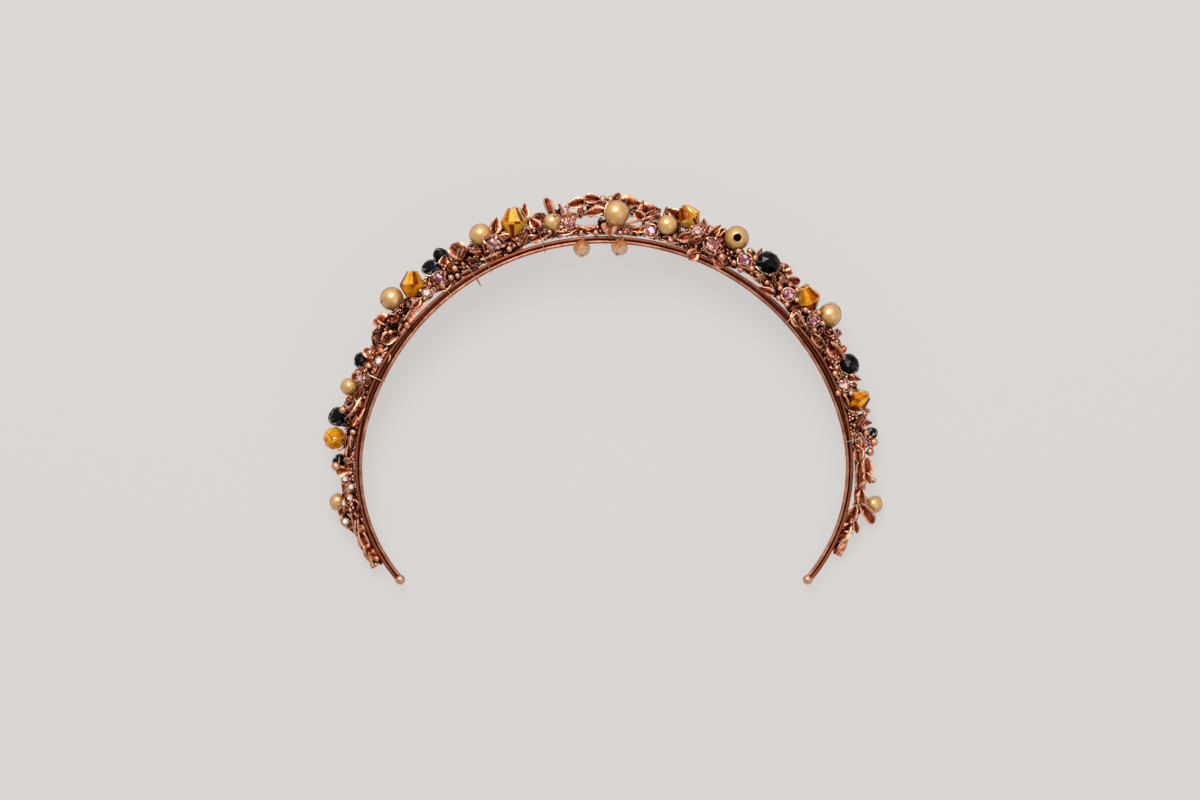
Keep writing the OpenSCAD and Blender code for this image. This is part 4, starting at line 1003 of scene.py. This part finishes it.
sprig_kinds = bpy.data.collections.new("sprig shapes")
for k, (points, faces, wear) in enumerate(sprig_shapes):
    mesh = smoothed(new_mesh(f"sprig {k}", points, faces, "wear", "POINT", wear))
    sprig_kinds.objects.link(bpy.data.objects.new(mesh.name, mesh))
print("sprig shapes:", [len(faces) for _, faces, _ in sprig_shapes], "faces")

# %% Tables of the beads
# Columns: station, lift, depth, diameter, length, turn and lean of the hole, turn of the loop
PEARLS = [
    (-48.3, 11, -2.8, 6.4, 6.4, 60, 60, 180), (-68.4, 8.2, -3, 4.8, 4.8, 20, 70, 180),
    (-93, 6.3, -3, 4.4, 4.4, 80, 70, 135), (-26, 10.1, -1.5, 6.2, 6.2, 95, 80, 180),
    (-11, 7.2, -0.2, 4.6, 4.6, -35, 44, 150), (2.6, 8.2, 1.2, 7, 7, 20, 80, -60),
    (13.5, 7, 0.6, 5.4, 5.4, 90, 80, 180), (28, 10.5, -1.2, 6.6, 6.6, 0, 0, 180),
    (52.6, 10.9, -2.2, 6.4, 6.4, 60, 75, 110), (93.6, 7.4, -3.4, 4.6, 4.6, 80, 70, 135),
]
AMBERS = [
    (-79.6, 8.3, -3.8, 6.3, 6, 0, 8, 0), (-43.4, 9.5, -2.4, 6.9, 7.6, -43, 86, 180),
    (-18.9, 10, -3, 7, 7.8, -17, 84, 80), (17.5, 11, -5, 6.4, 6.8, 48, 80, 20),
    (47.2, 9.3, -2.6, 6.8, 7, 67, 66, 180), (71.2, 6.6, -2.4, 6, 6.6, 12, 78, -80),
]
BLACKS = [
    (-84.4, 6, -3, 4.1, 4.1, 90, 80, 0), (-75, 8.4, -2.6, 5.5, 5.5, 40, 70, 180),
    (-62.4, 8.1, -4, 4.6, 4.6, -40, 75, 180), (-38.2, 9.5, -2.4, 5.1, 5.1, 60, 75, -50),
    (-35.2, 11, -5.6, 4.4, 4.4, 0, 70, 180), (36, 9.2, -1.8, 6.6, 6.6, 120, 75, -60),
    (63.1, 8.1, -2, 5.8, 5.8, 130, 75, -60), (78.6, 8, -4.8, 3.6, 3.6, 20, 70, 180),
]
CHAMPAGNES = [
    (-5.3, -1.2, 2.9, 4.7, 4.5, 175, 60, 180), (3.7, -1, 2.9, 4.7, 4.5, 165, 60, 180),
]
BEADS = PEARLS + AMBERS + BLACKS + CHAMPAGNES
print("pearls:", len(PEARLS), "and cut beads:", len(BEADS) - len(PEARLS))

# %% [markdown]
# Between the band and the beads the castings are a knobbly mass with no holes in it. So under the
# leaves lies a lumpy ribbon whose edges follow a table, and its lumps are bright on top and dark
# between. A few openings show the background, so sprigs that would cover one of them, or a bead,
# are taken out whole. Wherever foliage meets a bead it is pushed aside, as it was seated there.

# %% The mass under the leaves
# Columns: station, inner and outer edge of the mass
MASS = [
    (-109, -3.4, -1.2), (-106.4, -2.6, 0.4), (-104, -1.9, 1.8), (-98, -0.9, 2.1), (-95.6, 0.1, 4.2),
    (-92, 0.9, 5), (-88, 1.5, 4.8), (-84, 1.9, 4.8), (-78, 2.2, 5), (-74, 2.2, 5.6),
    (-68, 2.5, 6.4), (-64, 2, 7.2), (-57, 2.6, 7), (-52, 3.5, 7), (-47, 4.6, 7.6), (-42, 4, 7.8),
    (-36, 2.5, 8), (-28, 2.3, 7.4), (-22, 2.6, 6.4), (-16, 3.3, 6), (-12, 2.9, 5), (-8, 2.7, 4),
    (-3, 2.6, 4), (0, 2.6, 5), (4, 2.6, 4), (8, 2.7, 4.4), (12, 2.7, 5.8), (19, 2.2, 7),
    (27, 2.5, 6.6), (32, 3.7, 7.4), (37, 3.5, 6.4), (43, 3.3, 7.4), (51, 2.5, 7.2), (58, 2.5, 7.2),
    (64, 2.5, 6.2), (71, 2.5, 4.6), (77, 2.8, 5.2), (81, 2.4, 4.6), (85, 2.2, 4.8), (88, 2.1, 4.8),
    (91, 1.9, 4.4), (94, 1.5, 4), (97.5, 0.3, 3), (101.3, -1.4, 1.6), (106, -2.4, 0.2),
]
MASS_MIDDLE, MASS_HALF = -1.5, 0.8
LUMP, LUMP_WEAR, BETWEEN_WEAR = 0.45, 0.75, 0.42
# Columns: lumps for each millimetre, height
LUMPS = [(0.8, 1), (1.9, 0.5), (4.1, 0.25)]
INNER = [(s, a) for s, a, _ in MASS]
OUTER = [(s, b) for s, _, b in MASS]


def mass_ribbon(span, around=22, step=0.3):
    """The lumpy ribbon between two stations."""
    stations = spread_over(span, step)
    count = len(stations) - 1
    points, faces, wear = [], [], []
    for i, s in enumerate(stations):
        low, high = between(INNER, s), between(OUTER, s)
        end = min(1, 0.35 + 0.65 * min(i, count - i) / 5)
        for k in range(around):
            a = math.tau * k / around
            lift = (low + high) / 2 + (high - low) / 2 * math.cos(a) * end
            depth = MASS_MIDDLE + MASS_HALF * math.sin(a) * end
            p = on_arch(s, lift, depth)
            lump = sum(tall * noise.noise(p * often) for often, tall in LUMPS)
            out = (p - on_arch(s, (low + high) / 2, MASS_MIDDLE)).normalized()
            points.append(p + out * (LUMP * lump * end))
            wear.append(min(1, max(0, BETWEEN_WEAR + LUMP_WEAR * lump)))
    for i in range(count):
        for k in range(around):
            a, b = i * around + k, i * around + (k + 1) % around
            faces.append((a, a + around, b + around, b))
    faces.append(tuple(range(around)))
    faces.append(tuple(count * around + k for k in range(around))[::-1])
    return points, faces, wear


def mass_row(span, share):
    """A line along the mass, share of the way from its middle to its edge, near its front."""
    depth = MASS_MIDDLE + 0.8 * MASS_HALF * math.sqrt(1 - share * share)
    edges = [(s, between(INNER, s), between(OUTER, s)) for s in spread_over(span, STEM_STEP)]
    return [
        on_arch(s, (low + high) / 2 + share * (high - low) / 2, depth) for s, low, high in edges
    ]


print("the crest's mass has", len(mass_ribbon(VINE_SPAN["crest"])[1]), "faces")


# %% Points and closed shapes of a mesh
def points_of(mesh):
    flat = np.empty(len(mesh.vertices) * 3)
    mesh.vertices.foreach_get("co", flat)
    return flat.reshape(-1, 3)


def islands(mesh):
    """A number for each point, the same for all the points of one closed shape."""
    ends = np.empty(len(mesh.edges) * 2, dtype=np.int32)
    mesh.edges.foreach_get("vertices", ends)
    a, b = ends.reshape(-1, 2).T
    labels = np.arange(len(mesh.vertices))
    while True:
        low = np.minimum(labels[a], labels[b])
        before = labels.copy()
        np.minimum.at(labels, a, low)
        np.minimum.at(labels, b, low)
        if (before == labels).all():
            return labels


print("helpers:", points_of.__name__, islands.__name__)

# %% Clear views
# The cup's radius as a share of its stone's, and the share of a radius that nothing covers
CUP_SHARE, KEPT_CLEAR = 1.15, 0.86
# Openings in the foliage. Columns: station from and to, lift from and to
OPENINGS = [
    (-6.8, -2, 4.9, 7.4), (-7.2, -5.4, 7.8, 10.4), (4, 7.6, 4.4, 6), (-13, -8, 4.4, 5.4),
    (-115, -96.5, -6, 12), (-92, -86, 5.6, 12), (83, 115, -6, 12), (-30, 30, -4, 2.2),
    (-52, -38, -4, 3.1), (34, 42, -4, 3),
]


def clear_view(mesh):
    """Takes out the sprigs that would hide a bead, a stone or an opening from the front."""
    back = np.array(LAY.inverted())
    points = points_of(mesh) @ back[:3, :3].T + back[:3, 3]
    hides = np.zeros(len(points), dtype=bool)
    for row in BEADS + SETTINGS:
        x, y, z = on_arch(*row[:3])
        r = row[3] / 2 if row in BEADS else CUP_SHARE * row[3]
        near = np.hypot(points[:, 0] - x, points[:, 1] - y) < KEPT_CLEAR * r
        hides |= near & (points[:, 2] > z - 0.2)
    station = np.degrees(np.arctan2(points[:, 0], points[:, 1]))
    lift = np.hypot(points[:, 0], points[:, 1]) - BAND_R
    for s0, s1, low, high in OPENINGS:
        hides |= (station > s0) & (station < s1) & (lift > low) & (lift < high)
    labels = islands(mesh)
    gone = np.isin(labels, np.unique(labels[hides]))
    shape = bmesh.new()
    shape.from_mesh(mesh)
    shape.verts.ensure_lookup_table()
    bmesh.ops.delete(shape, geom=[shape.verts[i] for i in np.flatnonzero(gone)], context="VERTS")
    shape.to_mesh(mesh)
    shape.free()
    return int(gone.sum())


print("openings:", len(OPENINGS))

# %% Seats of the beads
# A cut bead's facets lie inside its radius, by this share. The height is in metres.
CUT_SHARE, OFF_FLOOR = 0.9, 0.0001


def seat_beads(mesh, gap=0.05):
    """Pushes the points that lie inside a bead out to its surface, and lifts any off the floor."""
    points = points_of(mesh)
    for row in BEADS:
        centre = np.array(LAY @ on_arch(*row[:3]))
        share = 1 if row in PEARLS else CUT_SHARE
        reach = (share * row[3] / 2 + gap) / 1000
        away = points - centre
        far = np.linalg.norm(away, axis=1)
        inside = far < reach
        points[inside] = centre + away[inside] / far[inside, None] * reach
    points[:, 2] = np.maximum(points[:, 2], OFF_FLOOR)
    mesh.vertices.foreach_set("co", points.ravel())
    mesh.update()


print("beads to seat:", len(BEADS))

# %% [markdown]
# Each casting is built from its rows, its stems and its sprigs, and takes the place of the
# packed casting in the picture. A third, thin stem with its own sprigs runs halfway between the
# front and the back, so the casting is full when it is seen from the side or from above.


# %% One casting
# The leaf of the heart shape is smooth, and its wear is raised as painted light, so it stays bright
# in the shade of the pearl above it. The pearl whose hole faces the front shows a dark post in it,
# painted shade for the inside of the hole.
PLAIN_LEAF, HEART_PAINTED_LIGHT = dict(rim=0.16, cup=0.0, rib=0.05, twist=0), 0.25
FACING_PEARL, SHADE_POST_R, SHADE_POST_FOOT_R, SHADE_POST_DEPTHS = PEARLS[7], 0.85, 0.7, (-3.8, -1, 0.6)
# How far a twig bows and narrows, and the ball at its end
TWIG_BOW, TWIG_TAPER, TWIG_BALL = 0.12, 0.25, 1.25


def twig(mould, row):
    a, b = on_arch(*row[:3]), on_arch(*row[3:6])
    middle = (a + b) / 2 + Vector((0, 0, TWIG_BOW * (b - a).length))
    path = curve([a, middle, b], 5)
    n = len(path) - 1
    mould.add(tube(path, [row[6] * (1 - TWIG_TAPER * k / n) for k in range(n + 1)], 7, 0.7))
    mould.add(ball(row[6] * TWIG_BALL, 2), Matrix.Translation(b))


def stalk(mould, row, r=0.38, least=0.8):
    """Joins an ornament to the stem behind it."""
    foot, head = stem_middle(row[0], row[2]), on_arch(*row[:3])
    if (head - foot).length > least:
        path = [foot, (foot + head) / 2 + Vector((0, 0, 0.1)), head]
        mould.add(tube(path, [r, 0.8 * r, r], 6, 0.5))


def casting(part, seed):
    """The foliage of one part of the arch, without its sprigs."""
    rng = random.Random(seed)
    mould = Mould()
    for row in rows_of(part, LEAVES + BACK_LEAVES):
        plain = row[8] == "heart"
        points, faces, wear = leaf(row[6], row[7], row[8], rng, **(PLAIN_LEAF if plain else {}))
        # Painted light: the heart leaf's wear is raised to keep it bright in the pearl's shade.
        if plain:
            wear = [min(1, HEART_PAINTED_LIGHT + w) for w in wear]
        mould.add((points, faces, wear), leaf_place(row))
        stalk(mould, row)
    for row in rows_of(part, BALLS):
        mould.add(ball(row[3], 3), place(*row[:3]))
        stalk(mould, row)
    for row in rows_of(part, TWIGS):
        twig(mould, row)
    for row in rows_of(part, FLOWERS):
        flower(mould, place(*row[:3]) @ facing(row[4], row[5]), row[3], rng)
        stalk(mould, row)
    for row in rows_of(part, SETTINGS):
        setting(mould, row, rng)
    for station, lift, depth, *_ in rows_of(part, [FACING_PEARL]):
        # A dark post with no wear stands in the hole as painted shade.
        shade_post = [on_arch(station, lift, depth + z) for z in SHADE_POST_DEPTHS]
        mould.add(tube([stem_middle(station, -3), *shade_post], [SHADE_POST_FOOT_R, *[SHADE_POST_R] * 3], 12, 0))
    mould.add(mass_ribbon(VINE_SPAN[part]))
    return mould


print("the crest's casting has", len(casting("crest", 12).faces), "faces without its sprigs")


# %% The three castings
def joined(name, objects):
    """Joins objects into the first one and names it."""
    bpy.ops.object.select_all(action="DESELECT")
    for obj in objects:
        obj.select_set(True)
    bpy.context.view_layer.objects.active = objects[0]
    bpy.ops.object.join()
    objects[0].name = objects[0].data.name = name
    return objects[0]


MASS_ROWS = (-0.85, -0.5, -0.1, 0.3, 0.7, 0.95)
# Sprigs for each point of the front, the back and the middle stem
SPRIG_SHARES = (0.52, 1.5, 1.7)
ALL_ROUND = {"Turn from": (-1.2, -0.7, -1.6)}
SHARED = {
    "Turns per mm": 0.14,
    "Sides": 8,
    "Shapes": sprig_kinds,
    "Kinds": len(sprig_shapes) - 1,
    "Material": antique_copper,
}
for k, part in enumerate(VINE_SPAN):
    front = [stem_path(VINE_SPAN[part], VINE_LIFT, VINE_DEPTH)]
    mass = [mass_row(VINE_SPAN[part], share) for share in MASS_ROWS]
    back = [stem_path(span, BACK_LIFT, BACK_DEPTH) for span in rows_of(part, BACK_SPANS)]
    middle = [stem_path(span, HALF_LIFT, HALF_DEPTH) for span in rows_of(part, HALF_SPANS)]
    lengths = [len(paths[0]) for paths in (front, back, middle)]
    counts = [round(share * length) for share, length in zip(SPRIG_SHARES, lengths)]
    # Columns: tree, name, paths, its own values
    growth = [
        (strands, "stem", front, {"Spread": 0.5, "Radius": 0.55}),
        (strands, "back stem", back, {"Spread": 0.34, "Radius": 0.36}),
        (sprigs, "sprigs", mass, {"Count": counts[0], "Seed": 5 + k}),
        (sprigs, "back sprigs", back, ALL_ROUND | {"Count": counts[1], "Seed": 25 + k}),
        (strands, "middle stem", middle, {"Spread": 0.3, "Radius": 0.32}),
        (sprigs, "middle sprigs", middle, ALL_ROUND | {"Count": counts[2], "Seed": 45 + k}),
    ]
    pieces = [casting(part, 11 + k).cast(f"foliage_{part}", antique_copper)]
    for tree, name, paths, values in growth:
        mesh = smoothed(bake(tree, f"{name} {part}", paths, SHARED | values))
        if tree is sprigs:
            print(name, part, "points taken out:", clear_view(mesh))
        pieces.append(in_scene(mesh.name, mesh))
    foliage = joined(f"foliage_{part}", pieces)
    seat_beads(foliage.data)
    stands_for(foliage, f"vine_{part}")
    print(foliage.name, len(foliage.data.polygons), "faces")

# %% [markdown]
# ## Beads and stones
# A bicone bead is two cones of long facets, a fire polished bead is rows of small ones, and a
# stone has a table, a crown and a point. All are rings of points joined by flat facets, and
# each facet gets its own number for its colour and its painted shade and reflection. A hanging
# bead is deepest at its top, a black one has few facets with a painted reflection, and a bicone
# has a little of everything.


# %% Cut glass shapes
def rings_of(rings, sides):
    """Facets between rings of (radius, height, turn in half steps)."""
    points, faces = [], []
    for r, z, half in rings:
        for k in range(sides):
            a = math.tau * (k + half / 2) / sides
            points.append(Vector((r * math.cos(a), r * math.sin(a), z)))
    for i in range(len(rings) - 1):
        shift = rings[i + 1][2] - rings[i][2]
        for k in range(sides):
            a, b = i * sides + k, i * sides + (k + 1) % sides
            c, d = a + sides, b + sides
            if shift == 0:
                faces.append((a, b, d, c))
            elif shift > 0:
                faces += [(a, b, c), (b, d, c)]
            else:
                faces += [(a, b, d), (a, d, c)]
    return points, faces


def bead_shape(kind, d, length, sides, bore=0.4):
    """A drilled cut bead along Z."""
    r, h = d / 2, length / 2
    if kind == "bicone":
        rings = [(0.2 * d, -h, 0), (r, -0.05 * length, 0), (r, 0.05 * length, 0), (0.2 * d, h, 0)]
    else:
        rings = [
            (0.2 * d, -h, 0), (0.38 * d, -0.66 * h, 1), (0.49 * d, -0.2 * h, 0),
            (0.49 * d, 0.2 * h, 0), (0.38 * d, 0.66 * h, 1), (0.2 * d, h, 0),
        ]
    points, faces = rings_of(rings, sides)
    top, start = len(points) - sides, len(points)
    for z in (h, -h):
        for k in range(sides):
            a = math.tau * k / sides
            points.append(Vector((bore * math.cos(a), bore * math.sin(a), z)))
    for k in range(sides):
        m = (k + 1) % sides
        faces.append((top + k, top + m, start + m, start + k))
        faces.append((start + k, start + m, start + sides + m, start + sides + k))
        faces.append((start + sides + k, start + sides + m, m, k))
    return points, faces


def stone_shape(r, sides=8):
    """A round stone with its table up, its girdle at height 0."""
    rings = [(0.03, -0.7, 0), (1, -0.05, 0), (1, 0.06, 0), (0.86, 0.24, 1), (0.58, 0.4, 0)]
    points, faces = rings_of([(x * r, z * r, half) for x, z, half in rings], sides)
    faces.append(tuple(range(sides))[::-1])
    faces.append(tuple(len(points) - sides + k for k in range(sides)))
    return points, faces


print("facets:", len(bead_shape("bicone", 7, 7, 13)[1]), "and", len(stone_shape(1)[1]))


# %% Cut beads and stones
def cut_number(style, rng, face, drop):
    """The number of a facet that lies drop below the bead's middle: it picks the facet's colour and
    its painted shade and reflection.
    """
    if style == "long":
        return rng.choice((0.0, 0.3, 0.4, 0.52, 0.64, 0.78, 1.0))
    if style == "hung":
        return 0.44 + 0.26 * drop + 0.3 * (rng.random() - 0.5)
    if style == "warm":
        return 0.42 + 0.45 * rng.random()
    if style == "deep":
        return rng.random() ** 2
    return 0.45 if len(face) > 4 else rng.random()


def cut_piece(name, node, parts, seed, style="stone"):
    """One object of cut glass from (points, faces, place) shapes, each face with its number for its
    colour and painted reflection.
    """
    rng = random.Random(seed)
    points, faces = [], []
    for shape_points, shape_faces, where in parts:
        start = len(points)
        points += [LAY @ where @ p for p in shape_points]
        faces += [[start + k for k in face] for face in shape_faces]
    top = (parts[0][2] @ Vector((0, 0, 0))).y
    centres = [sum((points[i] for i in face), Vector()) / len(face) for face in faces]
    drops = [top - (LAY.inverted() @ centre).y for centre in centres]
    numbers = [cut_number(style, rng, face, drop) for face, drop in zip(faces, drops)]
    mesh = new_mesh(name, points, faces, "cut", "FACE", numbers)
    mesh.materials.append(FINISHES[SLOT[node]])
    stands_for(in_scene(name, mesh), node)


# Columns: family, rows, style of its round beads
FAMILIES = [("amber", AMBERS, "warm"), ("black", BLACKS, "deep"), ("champagne", CHAMPAGNES, "hung")]
for family, rows, round_style in FAMILIES:
    for k, row in enumerate(rows):
        bicone = family == "amber" and k > 0
        kind, sides, style = ("bicone", 13, "long") if bicone else ("round", 10, round_style)
        shape = bead_shape(kind, row[3], row[4], sides)
        where = place(*row[:3]) @ facing(row[5], row[6])
        cut_piece(f"{family}_bead_{k + 1}", f"{family}_{k + 1}", [(*shape, where)], 40 + k, style)
for k, row in enumerate(STONES):
    where = place(*row[:3]) @ facing(row[4], row[5])
    cut_piece(f"cut_stone_{k + 1}", f"stone_{k + 1}", [(*stone_shape(row[3]), where)], 70 + k)
small_stones = [(*stone_shape(row[3]), place(*row[:3])) for row in SETTINGS[len(STONES):]]
cut_piece("small_clear_stones", "clear_stones", small_stones, 90)
print("cut beads and stones:", len(AMBERS + BLACKS + CHAMPAGNES), "and", len(SETTINGS))

# %% [markdown]
# ## The band
# Two copper wires, bent by hand, so neither is quite even. They lie together at the crest,
# spread a little at the shoulders, and end in a ball. A seam of solder lies between them, painted
# dark as the shade in the gap between the wires.

# %% The band
# A leg's arc starts at a station and sweeps so many degrees. The wires lie a step apart, and
# spread that much more at the crest than at the legs. In millimetres.
LEG_FROM, LEG_R, LEG_SWEEP = 75, 45, 56
SPREAD, STEP, SHOULDER_R, TIP_R = 2, 1.04, 55, 1.35
# How far the bent wires waver and swell, the least radius of the seam between them and how far
# back it lies. The seam is painted dark, as shade between the wires.
WAVER, SWELL, SHADE_SEAM_R, SHADE_SEAM_BACK = 0.07, 0.05, 0.15, 0.1
INNER_MID = BAND_R + WIRE_R
OUTER_MID = INNER_MID + STEP + SPREAD


def turn_point(middle, r, station):
    a = math.radians(station)
    return Vector((middle[0] + r * math.sin(a), middle[1] + r * math.cos(a), 0))


def arc_points(middle, r, start, end, step=1.2):
    n = max(2, round(abs(end - start) / step))
    return [turn_point(middle, r, start + (end - start) * i / n) for i in range(n + 1)]


leg_middle = turn_point((0, 0), BAND_R - LEG_R, LEG_FROM)
arc_middle = Vector((0, -SPREAD, 0))
span = leg_middle - arc_middle
from_arc, from_leg = OUTER_MID - SHOULDER_R, SHOULDER_R - LEG_R - WIRE_R - STEP


def corner(a, b, c):
    """Angle of a triangle at the corner between its sides a and b, across from c."""
    return math.degrees(math.acos((a * a + b * b - c * c) / (2 * a * b)))


across = math.degrees(math.atan2(span[0], span[1]))
shoulder_from = across - corner(from_arc, span.length, from_leg)
shoulder_to = across + corner(from_leg, span.length, from_arc)
shoulder_middle = turn_point(arc_middle, from_arc, shoulder_from)
leg_to = LEG_FROM + LEG_SWEEP
inner_leg, outer_leg = LEG_R + WIRE_R, LEG_R + WIRE_R + STEP


def both_sides(half):
    """A path mirrored at the crest."""
    return [Vector((-p[0], p[1], 0)) for p in half[:0:-1]] + half


inner = both_sides(
    arc_points((0, 0), INNER_MID, 0, LEG_FROM)
    + arc_points(leg_middle, inner_leg, LEG_FROM, leg_to)[1:]
)
outer = both_sides(
    arc_points(arc_middle, OUTER_MID, 0, shoulder_from)
    + arc_points(shoulder_middle, SHOULDER_R, shoulder_from, shoulder_to)[1:]
    + arc_points(leg_middle, outer_leg, shoulder_to, leg_to)[1:]
)
mould = Mould()
# The outer wire gets a lower number than the inner one: painted shade, as it lies darker beside the
# vine.
for path, shine in ((inner, 0.62), (outer, 0.42)):
    uneven = [p + Vector((0, 0, WAVER * noise.noise(p * 0.12))) for p in path]
    radii = [WIRE_R * (1 + SWELL * noise.noise(p * 0.4)) for p in path]
    points, faces, wear = tube(uneven, radii, 14)
    mould.add((points, faces, [shine + 0.2 * noise.noise(p * 0.35) for p in points]))
shade_seam, radii = [], []
for p in inner:
    q = min(outer, key=lambda q: (q - p).length)
    shade_seam.append((p + q) / 2 + Vector((0, 0, -SHADE_SEAM_BACK)))
    radii.append(max(SHADE_SEAM_R, (q - p).length / 2 - WIRE_R + 0.14))
# The seam gets no wear, so it is painted dark as the shade between the wires.
mould.add(tube(shade_seam, radii, 10, 0))
tip = turn_point(leg_middle, LEG_R + WIRE_R + STEP / 2, leg_to)
for side in (-1, 1):
    mould.add(ball(TIP_R, 3), Matrix.Translation((side * tip[0], tip[1], 0)))
band_wires = mould.cast("band_wires", band_copper, 60)
stands_for(band_wires, "band")
print("band:", len(band_wires.data.polygons), "faces")

# %% [markdown]
# ## The gilt wire
# Each bead hangs on its own wire: it runs through the hole, back round the bead, and is wound
# round the stem. Some wires only bind the vine to the band.

# %% Wires
# Bindings. Columns: station, inner edge of the turn
BINDS = [
    (-99, -0.45), (-64.4, -0.45), (-38.6, -0.45), (-31.6, -2.4), (-27.6, -0.45), (-14.3, -0.45),
    (47.6, -0.45), (79, -0.45), (100, -0.45),
]
GILT_R, THREAD_R = 0.16, 0.8 * 0.16
COIL_R, HUNG_COIL_R, COIL_TURNS, COIL_STEPS = 1.3, 1.25, 2.2, 9
# How far a wire stands off a bead's ends and its side, and the points of a turn round the band
END_GAP, SIDE_GAP, BIND_STEPS = 0.1, 0.06, 12


def wound(middle, along, r, turns, start, step=0.42):
    """A helix round a stem."""
    along = along.normalized()
    across = (start - middle) - along * (start - middle).dot(along)
    across = across.normalized() if across.length > 0.01 else along.orthogonal().normalized()
    up = along.cross(across)
    path = []
    for k in range(round(turns * COIL_STEPS) + 1):
        a = math.tau * k / COIL_STEPS
        out = math.cos(a) * across + math.sin(a) * up
        path.append(middle + r * out + along * step * k / COIL_STEPS)
    return path


def bead_wire(row, hung=False):
    """The path of a bead's wire: through the hole, round the bead, and wound on the stem."""
    station, lift, depth, d, length = row[:5]
    hole = place(station, lift, depth) @ facing(row[5], row[6])
    half = length / 2 + END_GAP
    ends = [hole @ Vector((0, 0, s * half)) for s in (-1, 1)]
    loop = turned(row[7], "Z")
    rise = d / 2 + GILT_R + SIDE_GAP
    round_it = [
        hole @ loop @ Vector((0, -rise * math.sin(a), (rise + 0.1) * length / d * math.cos(a)))
        for a in [math.pi * k / 8 for k in range(9)]
    ]
    stem = on_arch(station, 1, 0) if hung else stem_middle(station, depth)
    along = on_arch(station + 1, 0, 0) - on_arch(station, 0, 0)
    coil = wound(stem, along, HUNG_COIL_R if hung else COIL_R, COIL_TURNS, round_it[-1])
    back = (ends[0] + round_it[-1]) / 2
    return [ends[0], hole @ Vector((0, 0, 0)), ends[1], *round_it[1:-1], back, *coil]


def bind_wire(station, low, turns=1.1):
    """A wire wound round the band and the vine."""
    high = between(VINE_LIFT, station) + 1.25
    front, deep = 1.0, 1.3 - between(VINE_DEPTH, station)
    path = []
    for k in range(round(turns * BIND_STEPS) + 1):
        a = math.tau * k / BIND_STEPS
        z = math.sin(a)
        lift = (low + high) / 2 + (high - low) / 2 * math.cos(a)
        path.append(on_arch(station + 0.5 * k / BIND_STEPS, lift, z * (front if z > 0 else deep)))
    return path


for part in VINE_SPAN:
    # The pearl whose hole faces the front, with a lean of 0, hides its wire.
    wired = [row for row in rows_of(part, PEARLS + AMBERS + BLACKS) if row[6] > 0]
    paths = [curve(bead_wire(row), 3) for row in wired]
    paths += [curve(bead_wire(row, True), 3) for row in rows_of(part, CHAMPAGNES)]
    paths += [curve(bind_wire(*row), 2) for row in rows_of(part, BINDS)]
    mould = Mould()
    for path in paths:
        mould.add(tube(path, THREAD_R, 6, 1.0))
    wires = mould.cast(f"gilt_{part}", gilt_wire)
    stands_for(wires, f"wire_{part}")
    print(wires.name, len(wires.data.polygons), "faces")

# %% [markdown]
# ## The picture
# A pale floor, soft light from above the crest, and a camera square to the arch. The floor glows
# a little, as a light table does, so the shadows stay faint and the background even.

# %% Floor
floor_material = new_material(
    "pale floor",
    Roughness=0.9,
    Base_Color=(0.14, 0.137, 0.133, 1),
    Emission_Color=(0.83, 0.8, 0.78, 1),
    Emission_Strength=0.65,
)[0]
bpy.ops.mesh.primitive_plane_add(size=3)
floor = bpy.context.object
floor.name = "floor"
floor.data.materials.append(floor_material)
print("floor:", floor.name)

# %% Light
# The light of the room by how far a direction turns to the window's side, then the lamps.
# Columns: name, place, size, energy, colour
WINDOW_SIDE = (-0.1, 0.6, 0.79)
ROOM = [(0.1, (0.42, 0.415, 0.41)), (0.75, (0.5, 0.495, 0.49)), (0.96, (1.0, 0.985, 0.96))]
LAMPS = [
    ("window", (-0.12, 0.42, 0.7), 0.5, 3.1, (1.0, 0.98, 0.96)),
    ("fill", (0.5, -0.3, 0.6), 0.6, 0.8, (0.97, 0.98, 1.0)),
]
MIDDLE_OF_ARCH = Vector((0, 0.03, 0))
scene = bpy.context.scene
scene.view_settings.view_transform = "Standard"
world = bpy.data.worlds.new("studio")
scene.world = world
world.use_nodes = True
tree = world.node_tree
direction = add_node(tree, "ShaderNodeTexCoord").outputs["Generated"]
upward = vectors(tree, "DOT_PRODUCT", direction, WINDOW_SIDE, output="Value")
glow = ramp(tree, maths(tree, "MULTIPLY_ADD", upward, 0.5, 0.5), ROOM)
feed(tree, tree.nodes["Background"], {"Color": glow, "Strength": 1.0})
for name, at, size, energy, colour in LAMPS:
    light = bpy.data.lights.new(name, "AREA")
    light.size, light.energy, light.color = size, energy, colour
    lamp = in_scene(name, light)
    lamp.location = at
    lamp.rotation_euler = (MIDDLE_OF_ARCH - Vector(at)).to_track_quat("-Z", "Y").to_euler()
print("lamps:", len(LAMPS))

# %% Camera
# The camera's place is in millimetres of the arch, and it looks square at it.
EYE = Vector((-1.08, 23.76, 765))
camera = bpy.data.cameras.new("camera")
camera.lens, camera.sensor_width = 85, 36
camera.clip_start, camera.clip_end = 0.01, 10
eye = in_scene("camera", camera)
square = LAY.to_3x3().normalized().to_4x4()
eye.matrix_world = Matrix.Translation(LAY @ EYE) @ square
scene.camera = eye
print("the camera's place:", [round(v, 3) for v in LAY @ EYE])
